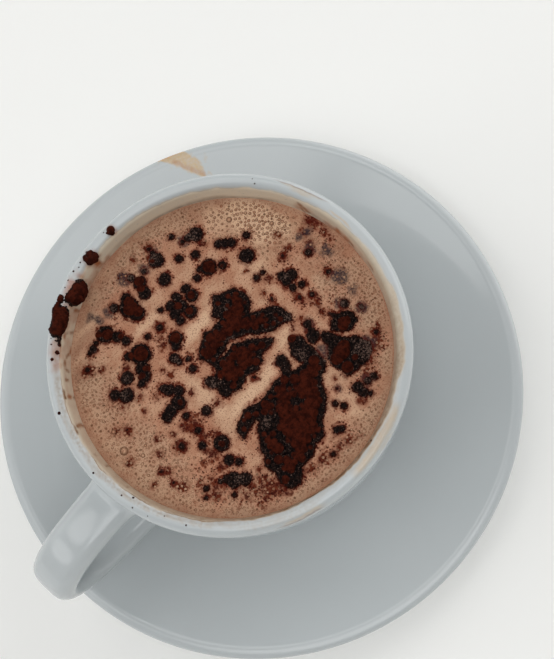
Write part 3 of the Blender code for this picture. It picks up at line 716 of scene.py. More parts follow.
cocoa = {
    "z": 67.2, "sunk": 0.35, "step": 0.17, "gridReach": 41.5, "reach": 41.2,
    "sideOutline": [(-14.7, 20.5), (-13, 21.7), (-11, 22.5), (-9.5, 23.2), (-8.8, 25), (-7.5, 27),
        (-6, 28.3), (-4, 29.3), (-2.5, 29.8), (-1, 31.5), (0.5, 33), (2, 33), (3, 32.3), (4, 33), (6, 33.8),
        (8.5, 34.2), (10, 34), (11.5, 35.5), (13, 36.3), (15, 35.7), (16.3, 34.5), (16.5, 32), (16, 30.5),
        (15.5, 29), (16, 27), (15.5, 25.5), (14, 25), (13.7, 23), (13.2, 21.8), (11.5, 20.3), (10, 18.5),
        (8.5, 17), (10.5, 17), (13, 18), (14.3, 18.3), (14.3, 15.5), (13, 14), (9, 12.8), (7, 13),
        (5.5, 14), (2, 14.3), (0, 14), (-2.5, 13.5), (-4.5, 14.3), (-5.2, 13), (-5.5, 11), (-7, 10),
        (-8.5, 10.5), (-9, 11.5), (-8, 14), (-7, 15.5), (-8.5, 16.2), (-10.5, 16.3), (-9.8, 15), (-10, 13),
        (-11, 11), (-13.5, 9), (-15.5, 11), (-15.3, 13), (-15.5, 16), (-14.7, 18)],
    "centreOutlines": [[(-18.2, 5.2), (-17, 7), (-15.3, 5.8), (-13.5, 5.2), (-11.5, 5), (-10.4, 4.1),
        (-8.5, 2.2), (-6.4, 0.1), (-4.3, -0.9), (-2.6, -2.5), (-1, -2.1), (0.5, -1.5), (1.5, -1.5), (3, -1),
        (5, -1), (5.6, -2), (6.6, -5), (5, -6.5), (2, -8), (0, -9), (-1.5, -8), (-3.5, -8), (-5, -8.2),
        (-4, -10), (-6.5, -12), (-8, -14), (-9, -14), (-10, -12.5), (-12, -12), (-14, -11), (-14.5, -8),
        (-14, -5), (-11.3, -3.2), (-13, -2), (-15, -1), (-17.3, 0.5), (-17.8, 2.5)], [(-10.3, 6.2), (-9, 7),
        (-7, 7), (-5, 7), (-4, 8), (-1, 8.6), (1, 7.8), (2, 7.4), (3, 8.2), (5, 8.6), (7, 7.5), (9.5, 7.2),
        (10, 5.5), (9.2, 4), (10.3, 2.5), (10.4, 0.5), (9.5, -0.5), (8, -0.4), (7, 0.6), (6, 0.5),
        (5.6, -2), (3, -1.2), (1, -1), (-0.5, -1.2), (-1, -0.9), (-2.3, -1.4), (-3.8, 0), (-5.6, 0.9),
        (-7.6, 2.9), (-9.6, 4.9)]],
    "leftOutlines": [[(-16, 28), (-18.3, 28), (-20.5, 28.6), (-22.5, 28.6), (-24.8, 28), (-26, 26),
        (-25.2, 24), (-24.8, 22.3), (-23.6, 21), (-22.4, 19.6), (-21.6, 17.9), (-21, 16), (-20, 14.6),
        (-18.4, 14.8), (-18, 16.5), (-17.8, 18), (-16.6, 19.3), (-15.2, 20), (-14.7, 22), (-15, 24.5),
        (-14.9, 27)], [(-29, 17.5), (-28, 19.7), (-25.5, 20.3), (-23.9, 19.6), (-22.3, 17.6), (-21.3, 16),
        (-22.5, 14.8), (-24, 14.4), (-24.4, 12.7), (-25, 12.3), (-26, 14.3), (-28, 15.8)]],
    "leftSpots": [(-17.3, 13.7, 1.9), (-19, 10.5, 1.3), (-18.2, 12, 1)],
    # Small clots, as (x, y, radius).
    "clots": [(-19.6, 32.4, 1.1), (-17.6, 32, 1.2), (-14.8, 31.2, 1.6), (-14.6, 33.2, 1.4),
        (-15.6, 34.6, 0.8), (21.6, 24.8, 1.9), (23.8, 22.8, 2.2), (24.8, 21.2, 1.3), (26.4, 25.3, 0.8),
        (26.2, 20.4, 0.8), (20.8, 18.4, 1.5), (19.5, 20.6, 1.1), (18.9, 14, 2.2), (18.5, -1.6, 2.1),
        (21.4, -1.6, 1.8), (23, -1.4, 1.7), (16.2, -3.6, 1.6), (17.6, -5.6, 1.6), (18.2, -7, 1.3),
        (15.5, -18, 2.9), (18, -15, 2), (19, -13.2, 1.8), (21, -12.4, 1.2), (18, -20, 1.3),
        (26, -13.4, 2.1), (27.8, -15.8, 1.6), (22.5, -16.4, 1.9), (8, -26.3, 2.2), (8.2, -29, 2.8),
        (11, -32, 1.4), (7, -31.5, 1.5), (2.6, -28.5, 1.8), (1.5, -31.5, 2), (-1.6, -32.8, 1),
        (2, -34.2, 1.2), (-6, -32.2, 2.2), (-6.8, -34.2, 0.9), (17.8, -29, 2.4), (16.2, -26, 1.7),
        (15.4, -23.5, 1.4), (21, -29.3, 0.9), (22.8, -28.8, 1.2), (24.2, -28.6, 0.8), (-1.5, -15.5, 1.9),
        (2, -16, 1.3), (-5, -18.3, 1.9), (-1, -18.5, 2), (1.5, -18.3, 1.6), (-5.3, -20.8, 1.4),
        (-2, -21, 1.5), (0.8, -20.7, 1.5), (3.2, -22, 0.9), (-13.6, -20, 2.3), (-16.4, -17.4, 1.3),
        (-11.6, -21.4, 1), (-9.5, -20.4, 1.1), (-22.5, -14.2, 2.2), (-22.6, -19.8, 1.4), (-21.4, -21, 1.5),
        (-20.2, -22.2, 1.3), (-3.6, -26.8, 1.9), (-18.2, -28.8, 2.1), (-16.2, -29.8, 1.3),
        (-14.3, -30.2, 0.8), (-26.2, -1.6, 1.7), (-24, -1.3, 1.4), (-24.4, -3.2, 1.5), (-14, -25.2, 1.3),
        (-10.3, -27.7, 1.2), (-26.8, -18, 1.1), (-13.5, -33.5, 0.9), (-25.6, 6.2, 0.8), (-23, 4.2, 0.7),
        (-26, 2.3, 1.1), (-23.8, 1, 1.2), (-33.6, -2.1, 1.1), (-28.7, -6.8, 0.6), (-21.8, -7.9, 0.8),
        (-19.7, -8.1, 1), (-18, -1.2, 0.6), (6.3, -13.7, 2), (7.9, -12.2, 1.3), (10.5, -10.4, 1.5),
        (10.4, -8.8, 1.1), (8.2, -7.4, 0.9), (6.9, -18.9, 1.1), (10.8, -19.7, 1), (9.3, -4.8, 1.2),
        (15.2, 5.5, 1.4), (19.7, 2.2, 1.1), (20.4, 7.2, 1.1), (26.2, 6.7, 1), (34.4, 7, 0.5),
        (22.6, 10.7, 1.2), (34.5, 11.4, 0.5), (30, 18.9, 1), (31.8, 20.4, 0.7), (27.8, -26, 0.8),
        (32.4, -7.2, 0.4), (-3.8, 34.9, 1.1), (-2.9, 34.3, 1.1), (2.3, 37.6, 0.8), (-8.7, 31.6, 1),
        (-7.8, 29.6, 0.9), (-11, 27.4, 0.5), (-31.4, 18.2, 0.9), (-29.2, 14.2, 1.3), (-28.6, 25.4, 0.8),
        (-33, 5.4, 0.8), (0.6, 9.2, 0.6), (-7, -35.8, 0.7)],
    "wetHoles": [(-1.5, 21.5, 1.3), (-2.6, 21.9, 0.9), (-4, 18, 0.7), (8, 24, 1), (9.5, 28.2, 1.5),
        (8.3, 27.4, 1), (7, 20, 2.4), (5.4, 21, 1), (2.5, 18, 0.7), (13.3, 34.2, 2.4),
        (15.3, 29.6, 1.8), (13, 26.5, 0.8), (-14.5, 1.2, 1.4), (-16.8, 1.8, 1.3), (-15.4, 5.4, 0.9),
        (-9.5, -9.8, 0.7), (-6.4, -9.3, 1.4), (-12.8, -10.6, 0.6), (-4.3, 6.4, 0.8), (-0.3, 7.4, 1.1),
        (-4.6, 2, 0.8), (1.2, 6.4, 0.7), (0.6, 2.6, 0.6), (1.4, -0.4, 0.8), (4.6, -0.6, 0.9),
        (7.4, 4.4, 1.7), (8.6, 1.8, 2.4), (-13, 12.5, 3), (-12, 15.5, 1.6), (-12.8, 12, 2.4)],
    "dryIslands": [(12.2, 31.9, 1.1), (15, 32.6, 1), (11, 29.4, 0.8), (-20.7, 21.5, 1.4),
        (-19, 22.2, 2), (-17.2, 22.4, 1.6), (-17, 25.8, 1.5), (-20.2, 25.6, 0.8), (-26, 17.6, 1.2),
        (-24.6, 17.8, 1.4), (-25.2, 17, 1.2), (6.2, -13.8, 1.3), (15.4, -17.9, 1.9), (17.4, -14.3, 0.8),
        (19.3, -13.6, 0.8), (17.4, -19.6, 0.8), (-13.8, -20, 1.6), (-4.9, -18.3, 1), (-1.5, -15.7, 0.9),
        (-0.6, -19, 1), (7.6, -26.3, 1.3), (8.2, -28.4, 1.9), (7.2, -30, 1.4), (2.3, -30, 1),
        (1.3, -31.8, 1.3), (17.4, -28.4, 1.4), (19, -30.2, 0.9), (15.5, -25.3, 0.7), (18, -1.3, 0.7),
        (18.9, 14.4, 0.8), (-5, -32.9, 0.6), (-13.6, 9.9, 0.9), (-16.2, -17.4, 0.5), (11.6, -13.6, 0.4)],
    "bareSpots": [(6.2, 2.2, 0.55), (-8.3, 15.6, 0.7), (9.2, 17.6, 0.6)],
    # Where milk has soaked up between the beads and shows grey.
    "greySpots": [(-6, -33.2, 1.9), (2.5, -34.6, 1.7), (12, -32.2, 1.4), (-1.8, -32.8, 1.3),
        (-23.5, 26, 2.8), (-20.6, 31.8, 0.8), (-17.6, 32.4, 1.4), (-34, 8, 2), (-36.5, 1, 1.2),
        (-33.5, -2, 0.9), (-15, 20.6, 1.3), (-16, 17.8, 1.6), (-12, 14.5, 1.3), (-17.8, -29, 1.5),
        (-24.8, -2.8, 1), (9, 2, 1.3), (-8, -9.2, 1.1), (-3, -2.2, 0.9), (22.5, -16.5, 0.9),
        (26.6, -13.4, 1), (10.4, -9.8, 0.8), (-31.4, 18, 1.3), (-38.2, -6, 1), (-16.6, 5.4, 1),
        (23, 23.6, 1.2), (-29.2, 14, 0.9), (7.2, 19.2, 1.3)],
    # Wet beads and dry lobes, as (least gap, most gap, rise); the thinnest edge is trimmed off.
    "beads": (0.40, 0.74, 0.95), "lobes": (1.1, 2.6, 0.40), "trim": 0.07,
    "dryInset": 1.15, "patchSize": 1.3, "threadSize": 0.46, "grainSize": 0.4,
    # The crevice colour is painted shade, the wet beads' top colour a painted highlight, and the grey both
    # soaked milk and painted glints.
    "dryHex": "#270B06", "dryWarmHex": "#42180D", "creviceShadeHex": "#180907", "wetHex": "#080303",
    "wetHighlightHex": "#1C0E0A", "thinHex": "#5C1E0E", "greyMilkAndGlintHex": "#5E4A42",
    "dryRoughness": 0.95, "wetRoughness": 0.50, "specular": 0.05,
}


def makeCocoa():
    # Sifted cocoa powder, dry in heaps and soaked at the edge: the eye gets matt red-brown lobes
    # set in near-black beads, with painted shade in the crevices, painted highlights on the beads' tops
    # and painted grey glints, and grey threads where milk has crept in.
    material, add, place = newMaterial("siftedCocoa")
    dry, crown, grey, thin = (add("Attribute", output="Fac", attribute_name=name)
                              for name in ("dry", "crown", "grey", "thin"))
    hexes = {key: linear(value) for key, value in cocoa.items() if key.endswith("Hex")}
    patchy = add("TexNoise", Vector=place, Scale=1 / (cocoa["patchSize"] * mm), Detail=4.0, Roughness=0.7)
    tone = add("MapRange", patchy, 0.36, 0.64, **softTurn)
    powder = add("Mix", **colours, Factor_Float=tone, A_Color=hexes["dryHex"], B_Color=hexes["dryWarmHex"])
    # Painted shade: where the crown is low, in crevices between lobes, the powder darkens towards the
    # crevice colour.
    hollowShade = add("MapRange", crown, 0.10, 0.50, 0.50, 0.0, **softTurn)
    powdery = add("Mix", **colours, Factor_Float=hollowShade, A_Color=powder, B_Color=hexes["creviceShadeHex"])
    # Rare short grey glints between the wet beads are painted highlights; where milk has soaked up,
    # the same noise draws crooked grey threads of milk.
    thread = add("TexNoise", Vector=place, Scale=1 / (cocoa["threadSize"] * mm), Detail=2.0, Roughness=0.6,
                 Distortion=0.7)
    level = add("MapRange", grey, 0.0, 1.0, 0.60, 0.48)
    full = add("Math", level, 0.07, operation='ADD')
    milkAndGlint = add("MapRange", thread, level, full, 0.0, 0.9, **softTurn)
    # Painted highlight and shade on the wet beads: lighter on their crowns, darkest between them.
    bead = add("MapRange", crown, 0.40, 0.85, **softTurn)
    beads = add("Mix", **colours, Factor_Float=bead, A_Color=hexes["wetHex"], B_Color=hexes["wetHighlightHex"])
    soaked = add("Mix", **colours, Factor_Float=milkAndGlint, A_Color=beads, B_Color=hexes["greyMilkAndGlintHex"])
    heap = add("Mix", **colours, Factor_Float=dry, A_Color=soaked, B_Color=powdery)
    colour = add("Mix", **colours, Factor_Float=thin, A_Color=heap, B_Color=hexes["thinHex"])
    rough = add("MapRange", dry, 0.0, 1.0, cocoa["wetRoughness"], cocoa["dryRoughness"])
    grain = add("TexNoise", Vector=place, Scale=1 / (cocoa["grainSize"] * mm), Detail=2.0)
    bump = add("Bump", Height=grain, Strength=0.7, Distance=0.00015)
    add("OutputMaterial", Surface=add("BsdfPrincipled", colour, Roughness=rough, Normal=bump,
                                      **{"Specular IOR Level": cocoa["specular"]}))
    return material


def cocoaFields(x, y):
    # How far each place lies inside the cocoa of each piece, and inside its dry parts.
    stray = softNoise(x, y, (0.30, 1.4, 31), (0.15, 0.6, 32))
    sway = softNoise(x, y, (0.30, 1.4, 33), (0.15, 0.6, 34))
    bentX, bentY = x + stray, y + sway
    side = outlineField(bentX, bentY, cocoa["sideOutline"])
    centre = outlineField(bentX, bentY, *cocoa["centreOutlines"])
    left = outlineField(bentX, bentY, *cocoa["leftOutlines"])
    wet, islands, spots, bare = (spotField(bentX, bentY, cocoa[key])
                                 for key in ("wetHoles", "dryIslands", "leftSpots", "bareSpots"))
    inset = cocoa["dryInset"] + softNoise(x, y, (0.35, 2.0, 35))
    dry = np.maximum(np.minimum(np.maximum(side, centre) - inset, -wet), islands)
    # Loose clots stay rounder than the heaps.
    clots = spotField(x + 0.45 * stray, y + 0.45 * sway, cocoa["clots"])
    return [np.minimum(f, -bare) for f in (side, centre, np.maximum(left, spots), clots)], dry


def soften(values, cells):
    # Gaussian blur of a grid.
    down = np.fft.fftfreq(values.shape[0])[:, None]
    across = np.fft.rfftfreq(values.shape[1])[None, :]
    weight = np.exp(-2 * (pi * cells) ** 2 * (down ** 2 + across ** 2))
    return np.fft.irfft2(np.fft.rfft2(values) * weight, values.shape)


def raiseCaps(height, x, y, caps):
    # Lay rounded caps (x, y, radius, rise) on a grid; the higher surface stays.
    step = x[0, 1] - x[0, 0]
    for middleX, middleY, radius, rise in caps:
        i, j = int((middleY - radius - y[0, 0]) / step), int((middleX - radius - x[0, 0]) / step)
        reach = int(2 * radius / step) + 3
        window = (slice(max(i, 0), i + reach), slice(max(j, 0), j + reach))
        away = ((x[window] - middleX) ** 2 + (y[window] - middleY) ** 2) / radius ** 2
        height[window] = np.maximum(height[window], rise * np.sqrt(np.clip(1 - away, 0, 1)))


def crownOf(height, more=0.0):
    # How far each place stands out of its surroundings, from 0 in a crevice to 1 on a crest; more
    # raises it. The cocoa's material paints shade on low crowns and highlights on high ones.
    return np.clip(0.5 + (height - soften(height, 3.2)) / 0.5 + more, 0, 1)


def heapUp(x, y, inside, dry, seed, islands=()):
    # Height, crown and dryness of clotted cocoa: small wet beads out to the edge, and wider lobes
    # that have stayed dry on top.
    random = np.random.default_rng(seed)
    heights = []
    for where, room, key in (((inside > 0.02) & (dry < 0.25), inside + 0.22, "beads"),
                             (dry > 0.30, dry + 0.45, "lobes")):
        low, high, tall = cocoa[key]
        layer = np.zeros(x.shape)
        rows, columns = np.nonzero(where & (random.random(x.shape) < 0.4))
        if len(rows):
            spotX, spotY = x[rows, columns], y[rows, columns]
            gaps = random.uniform(low, high, len(rows))
            widths = np.minimum(0.80 * gaps, room[rows, columns])
            kept = spread(spotX, spotY, gaps, seed + 1)
            raiseCaps(layer, x, y, zip(spotX[kept], spotY[kept], widths[kept],
                                       tall * widths[kept] * random.uniform(0.8, 1.2, len(kept))))
        heights.append(layer)
    beads, lobes = heights
    raiseCaps(lobes, x, y, islands)
    height = np.maximum(beads, lobes) + 0.24 * smooth(-0.05, 0.5, inside) + 0.55 * smooth(0.1, 1.6, dry)
    height *= smooth(-0.75, -0.55, inside)
    dryness = np.maximum(smooth(0.08, 0.30, lobes), smooth(0.6, 1.1, dry))
    return height, crownOf(height, 0.24 * smooth(1.0, 2.2, dry)), dryness


def heapPiece(name, field, place, values, material):
    # A closed piece over the part of a grid where the field is positive. The place function
    # gives points for a row, a column and True for the upper side.
    row, column, faces, cuts = cutGrid(field)
    count = len(row)
    points = np.concatenate([place(row, column, True), place(row, column, False)])
    under = [[v + count for v in reversed(face)] for face in faces]
    faces += under + [[a, a + count, b + count, b] for a, b in cuts]
    read = {key: np.tile(readGrid(grid, row, column), 2) for key, grid in values.items()}
    return newPiece(name, points, faces, material, read)


def makeCocoaPatches(material):
    step = cocoa["step"]
    line = np.arange(-cocoa["gridReach"], cocoa["gridReach"], step)
    x, y = np.meshgrid(line, line)
    fields, dry = cocoaFields(x, y)
    inside = np.maximum.reduce(fields) - 0.04
    islands = [(a, b, radius + 0.1, 0.55 * radius) for a, b, radius in cocoa["dryIslands"]]
    height, crown, dryness = heapUp(x, y, inside, dry, 40, islands)
    soaked = smooth(-0.9, 0.9, spotField(x, y, cocoa["greySpots"]) + softNoise(x, y, (0.7, 1.2, 37)))
    values = {"dry": dryness, "crown": crown, "grey": soaked, "thin": 0.35 * smooth(0.30, 0.0, inside)}
    cut = np.minimum(height - cocoa["trim"], cocoa["reach"] - np.hypot(x, y))

    def place(row, column, upper):
        z = cocoa["z"] + (readGrid(height, row, column) if upper else -cocoa["sunk"] + 0 * row)
        return np.stack([line[0] + column * step, line[0] + row * step, z], -1)

    for n, (name, node) in enumerate((("cocoaSidePatch", "cocoa_side"), ("cocoaCentrePatch", "cocoa_centre"),
                                      ("cocoaLeftPatch", "cocoa_left"), ("cocoaClots", "mocha"))):
        rest = np.maximum.reduce(fields[:n] + fields[n + 1:])
        piece = heapPiece(name, np.minimum(cut, 0.5 * (fields[n] - rest)), place, values, material)
        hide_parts(node)


# Foam

foam = {
    "z": 67.2, "radius": 42.6, "step": 0.3, "meniscus": 0.4, "meniscusWidth": 1.6, "wallGap": 0.05,
    "looseReach": 41.3, "bubbleTries": 36000, "dustTries": 60000, "pitSpacing": 1.15,
    "bubbleRadius": (0.25, 0.35), "bubbleMore": (0.05, 0.16), "bigFrom": 0.52,
    "burstBelow": 0.36, "burstShare": 0.7, "bubbleClear": 0.55, "bigSides": 24, "smallSides": 8,
    "scatterHalf": 41.0, "dustSize": 0.10, "dustMore": 0.32, "dustGap": 1.7,
    # Zones as (x, y, half width, half length, weight).
    "dustZones": ((25, 20, 9, 9, 0.52), (11, 35.5, 6, 2, 0.45), (21, 30, 6, 5, 0.60), (19, 33, 4, 3, 0.75),
        (23, 25, 6, 5, 0.5), (20, 6, 4, 7, 0.55), (24, 3, 8, 9, 0.22), (-24, 4, 4, 9, 0.55),
        (-28, -5, 8, 3.5, 0.42), (-36, 2, 5, 10, 0.30), (-40.5, -5, 1.6, 5, 0.9), (-39, -2, 3, 6, 0.5),
        (-26, 28, 7, 2.5, 0.5), (-18, 31, 6, 2.5, 0.45), (2, 37, 10, 2.2, 0.42), (-3, 38, 5, 1.6, 0.5),
        (-30, 12, 5, 5, 0.32), (-24, 9, 3, 6, 0.4), (18, -8, 7, 6, 0.32), (9, -13, 5, 8, 0.35),
        (27, -15, 5, 5, 0.30), (33, -8, 3, 3, 0.3), (15, -28, 10, 5, 0.35), (6, -34, 8, 4, 0.30),
        (-16, -27, 7, 6, 0.28), (-1, -20, 8, 5, 0.25), (-7, -35, 6, 3, 0.5), (-14, -12, 8, 4, 0.12),
        (30, 10, 6, 10, 0.22)),
    # Thin blots of powder that float without a crust, as (x, y, radius).
    "blots": ((12, 6.2, 1.2), (18.5, 28.2, 1.2), (18, 30.6, 1.1), (17.4, 33, 1.4), (19.6, 31.5, 1.2),
        (20.8, 29.8, 1), (22, 27.4, 1.2), (24.6, 28, 0.9), (17.4, 25.8, 0.7), (29.5, 21.8, 1.1),
        (28, 20.4, 0.9), (27, 18.2, 0.8), (25.6, 17.7, 0.7), (30, 17, 0.7), (23.4, 18, 1),
        (22.4, 14.2, 1.3), (23, 12.4, 0.9), (18, 11.6, 1), (20.4, 5.6, 1.8), (22, 3.7, 1.4),
        (20.6, 9.2, 1.2), (25.5, 2.6, 1), (29, 0.3, 0.9), (31.4, 3.6, 1), (33.7, 14.2, 1.3),
        (34.6, 11.5, 1), (33.2, 8.2, 1), (38, 8, 0.9), (38.3, -0.9, 1), (32.5, -6.9, 1.2),
        (34.4, -9, 1), (25.9, -7, 0.8), (20.8, -7.2, 0.8), (14.6, -8.2, 1), (14.8, -10.4, 0.8),
        (14.4, -0.8, 0.9), (9.8, -15.2, 1), (8.8, -16.8, 0.7), (24, -10.3, 1), (28.8, -12, 0.8),
        (20.5, -18.4, 1.1), (25.3, -23.4, 0.8), (27.8, -25.8, 1.7), (-7, -36, 1.4), (-2.2, -37.4, 0.8),
        (3.3, -36.8, 0.9), (-17.5, -25.6, 0.9), (-19.6, -11.5, 0.7), (-32, -11.6, 1), (-17.6, -4, 0.9),
        (-21.6, -5.3, 1.1), (-28.8, -6.9, 1.3), (-31, -7.2, 0.9), (-35.4, -3.4, 1), (-19, 8, 0.8),
        (-15.8, 8.2, 0.8), (-24, 11.3, 1), (-24.8, 8.7, 0.8), (-25.2, 6.2, 1.4), (-22.9, 4.2, 1.3),
        (-33, 5.4, 1.4), (-28.6, 25.4, 1.3), (-26, 27.4, 1.1), (-22, 29.6, 0.9), (-18.4, 30.4, 0.9),
        (-12.6, 34.4, 1), (-2.4, 38.4, 1.2), (5, 36.2, 1.1), (8.6, 35.6, 0.9), (0.6, 9.3, 1),
        (-37, -6.5, 1.2), (-40.6, -7.6, 1.2), (-12.6, 25.2, 0.6), (6.8, -19, 1.8), (26.2, 6.6, 1.9)),
    # Powder drawn out by the pour, as runs of (x, y), a width and a weight.
    "streaks": ((((-6.5, 40), (-4, 39.2), (-1.5, 38.2), (1.5, 37.9)), 0.35, 0.8), (((-1, 36.9), (3, 36.6),
        (7, 36.2), (10.5, 35.2)), 0.40, 0.8), (((-2, 35), (1.5, 34.9), (4, 34.6)), 0.30, 0.6), (((16.8, 36),
        (19, 33.4), (20.5, 31.2), (22.6, 29.2)), 0.8, 0.95), (((17, 34.2), (17.6, 31.5), (18.6, 29),
        (19.2, 27)), 0.9, 1), (((-31, 24), (-27.5, 26.8), (-24.5, 28.4)), 0.7, 0.95), (((-24.5, 28.4),
        (-20.5, 29.6), (-17, 30.4)), 0.45, 0.85), (((-24, 11.5), (-25, 8.5), (-25.6, 6)), 0.6, 0.9),
        (((-23.4, 6.5), (-22.8, 4), (-23.2, 2)), 0.5, 0.9), (((-31.5, -6.8), (-29, -6.9), (-27.4, -5.9)),
        0.5, 0.95), (((20.5, 9.4), (21.4, 7), (22.8, 4.4)), 0.8, 1), (((29.8, 21.8), (31.6, 20.4)), 0.6,
        0.9), (((33.6, 14.4), (34.4, 12)), 0.7, 1), (((33.8, 8.6), (35.2, 7)), 0.7, 1), (((31.6, -6.6),
        (33, -8.4), (34.6, -10)), 0.4, 0.8), (((25.6, 17.6), (28.4, 19.6), (30.4, 16.4)), 0.3, 0.6),
        (((24, 28), (26.4, 27.6), (28, 28.4)), 0.5, 0.8), (((9.5, -16), (10.6, -18.6)), 0.5, 0.8)),
    # Where soaked powder shows through as a grey violet veil, as (x, y, radius).
    "veils": ((-34, 8.6, 2.5), (-37, 1.2, 1.6), (-31.5, 18.2, 1.6), (-33.5, 13.6, 1.2), (-19.2, 10.6, 1.6),
        (-38.2, -6.2, 1.2), (-35.2, -6.8, 0.9), (-34.6, -2.6, 1.5), (17.2, -35.4, 1), (16, -33, 1.1),
        (13, -32.4, 1.4), (3, -35.4, 2), (-1.8, -33.2, 1.5), (-14.5, -30.2, 1.4), (-25, 25.4, 2.2),
        (-17.4, 31.6, 1.6), (-16.2, 18.4, 1.9), (-28.8, 13.4, 1.6), (-6.8, -34.4, 1.4), (-11.2, 27.4, 0.9)),
    # Where the drink has dried on in a brown streak at the wall.
    "stains": ((-41, -4, 1.8, 5.5, 0.8), (-40, -7.8, 1.4, 2.2, 0.8), (-40.2, 2.5, 1.6, 3, 0.5),
        (-38.6, 5.5, 1.5, 2, 0.25), (-36.8, -3.6, 1.6, 2.2, 0.35)),
    "bubbleZones": ((34, 3, 8, 24, 1), (31, -18, 9, 13, 0.9), (-31, -20, 9, 13, 1),
        (-34, 16, 8, 18, 0.9), (-25, 31, 8, 5, 0.8), (0, 38.5, 24, 3, 0.9), (-4, -37, 18, 4, 0.9),
        (26, 30, 9, 8, 0.9), (-20, -33, 8, 5, 0.7), (-37, 0, 4, 10, 0.5)),
    "coarseZones": ((-31, -20, 7, 12, 1), (-34, -14, 4, 6, 1), (-25, -27, 6, 5, 0.8),
        (36, -8, 5.5, 20, 0.55), (33, 15, 6, 12, 0.45)),
    "smoothZones": ((24, -33, 9, 5, 0.4), (2, 11.3, 14, 2, 0.9), (13, 4, 2.5, 9, 0.7),
        (-12, 8, 4, 2, 0.6), (0, -11.5, 8, 2.2, 0.9), (-20, -11, 5, 3, 0.6), (8, -22.5, 5, 2, 0.6),
        (-10, 32, 3, 5, 0.5)),
    "smears": ((25, -32, 9, 2, 0.9), (29, -27, 5, 3, 0.8), (18, -36, 7, 1.5, 0.7),
        (-5, -39.5, 18, 1.4, 0.5)),
    "bigBubbles": ((37, -4, 1.1), (34.6, 0.6, 0.55), (35.2, -9.5, 0.6), (-27, -24.6, 0.75),
        (-33.5, -15, 0.6)),
    # Rings of a bubble as (radius, rise, painted shade); the shade is darkest at the foot, and the finest
    # have burst and are shaded dark in the middle.
    "dome": ((1.20, -0.12, 0.6), (1.04, 0.06, 1.0), (0.66, 0.22, 0.7), (0.34, 0.28, 0.0)),
    "burst": ((1.20, -0.12, 0.3), (1.04, 0.04, 0.7), (0.66, 0.08, 1.0), (0.34, 0.06, 0.9)),
    # Mottle, pinholes at about the finest size that shows (their dark colour is painted shade), wander and
    # pores, as (size, detail, roughness).
    "noises": ((4.0, 4.0, 0.6), (0.42, 3.0, 0.65), (0.5, 2.0, 0.5), (0.45, 2.0, 0.5)),
    # Specks of dust as (width of a cell, tint, share).
    "specks": ((1.6, "red", 0.75), (1.0, "red", 0.9), (0.62, "dust", 0.95)),
    # Rings of a grain of dust as (radius, rise).
    "grain": ((1.0, -0.25), (1.0, 0.10), (0.6, 0.40)), "grainSides": 6,
    # Colours; speckHex for pinholes, pitHex and ringHex are painted shade of pinholes, open bubbles and
    # bubble rings.
    "bodyHex": "#C0987B", "warmHex": "#AC7C61", "paleHex": "#D8B697", "beigeHex": "#B0937A",
    "speckHex": "#83503B", "dustHex": "#3E0F06", "redHex": "#5E2410", "fringeHex": "#521406",
    "veilHex": "#3A2E30", "smearHex": "#96705A", "rosyHex": "#B3765C", "pitHex": "#5A3620",
    "ringHex": "#462613", "roughness": 0.42, "ior": 1.34, "specular": 0.12,
}


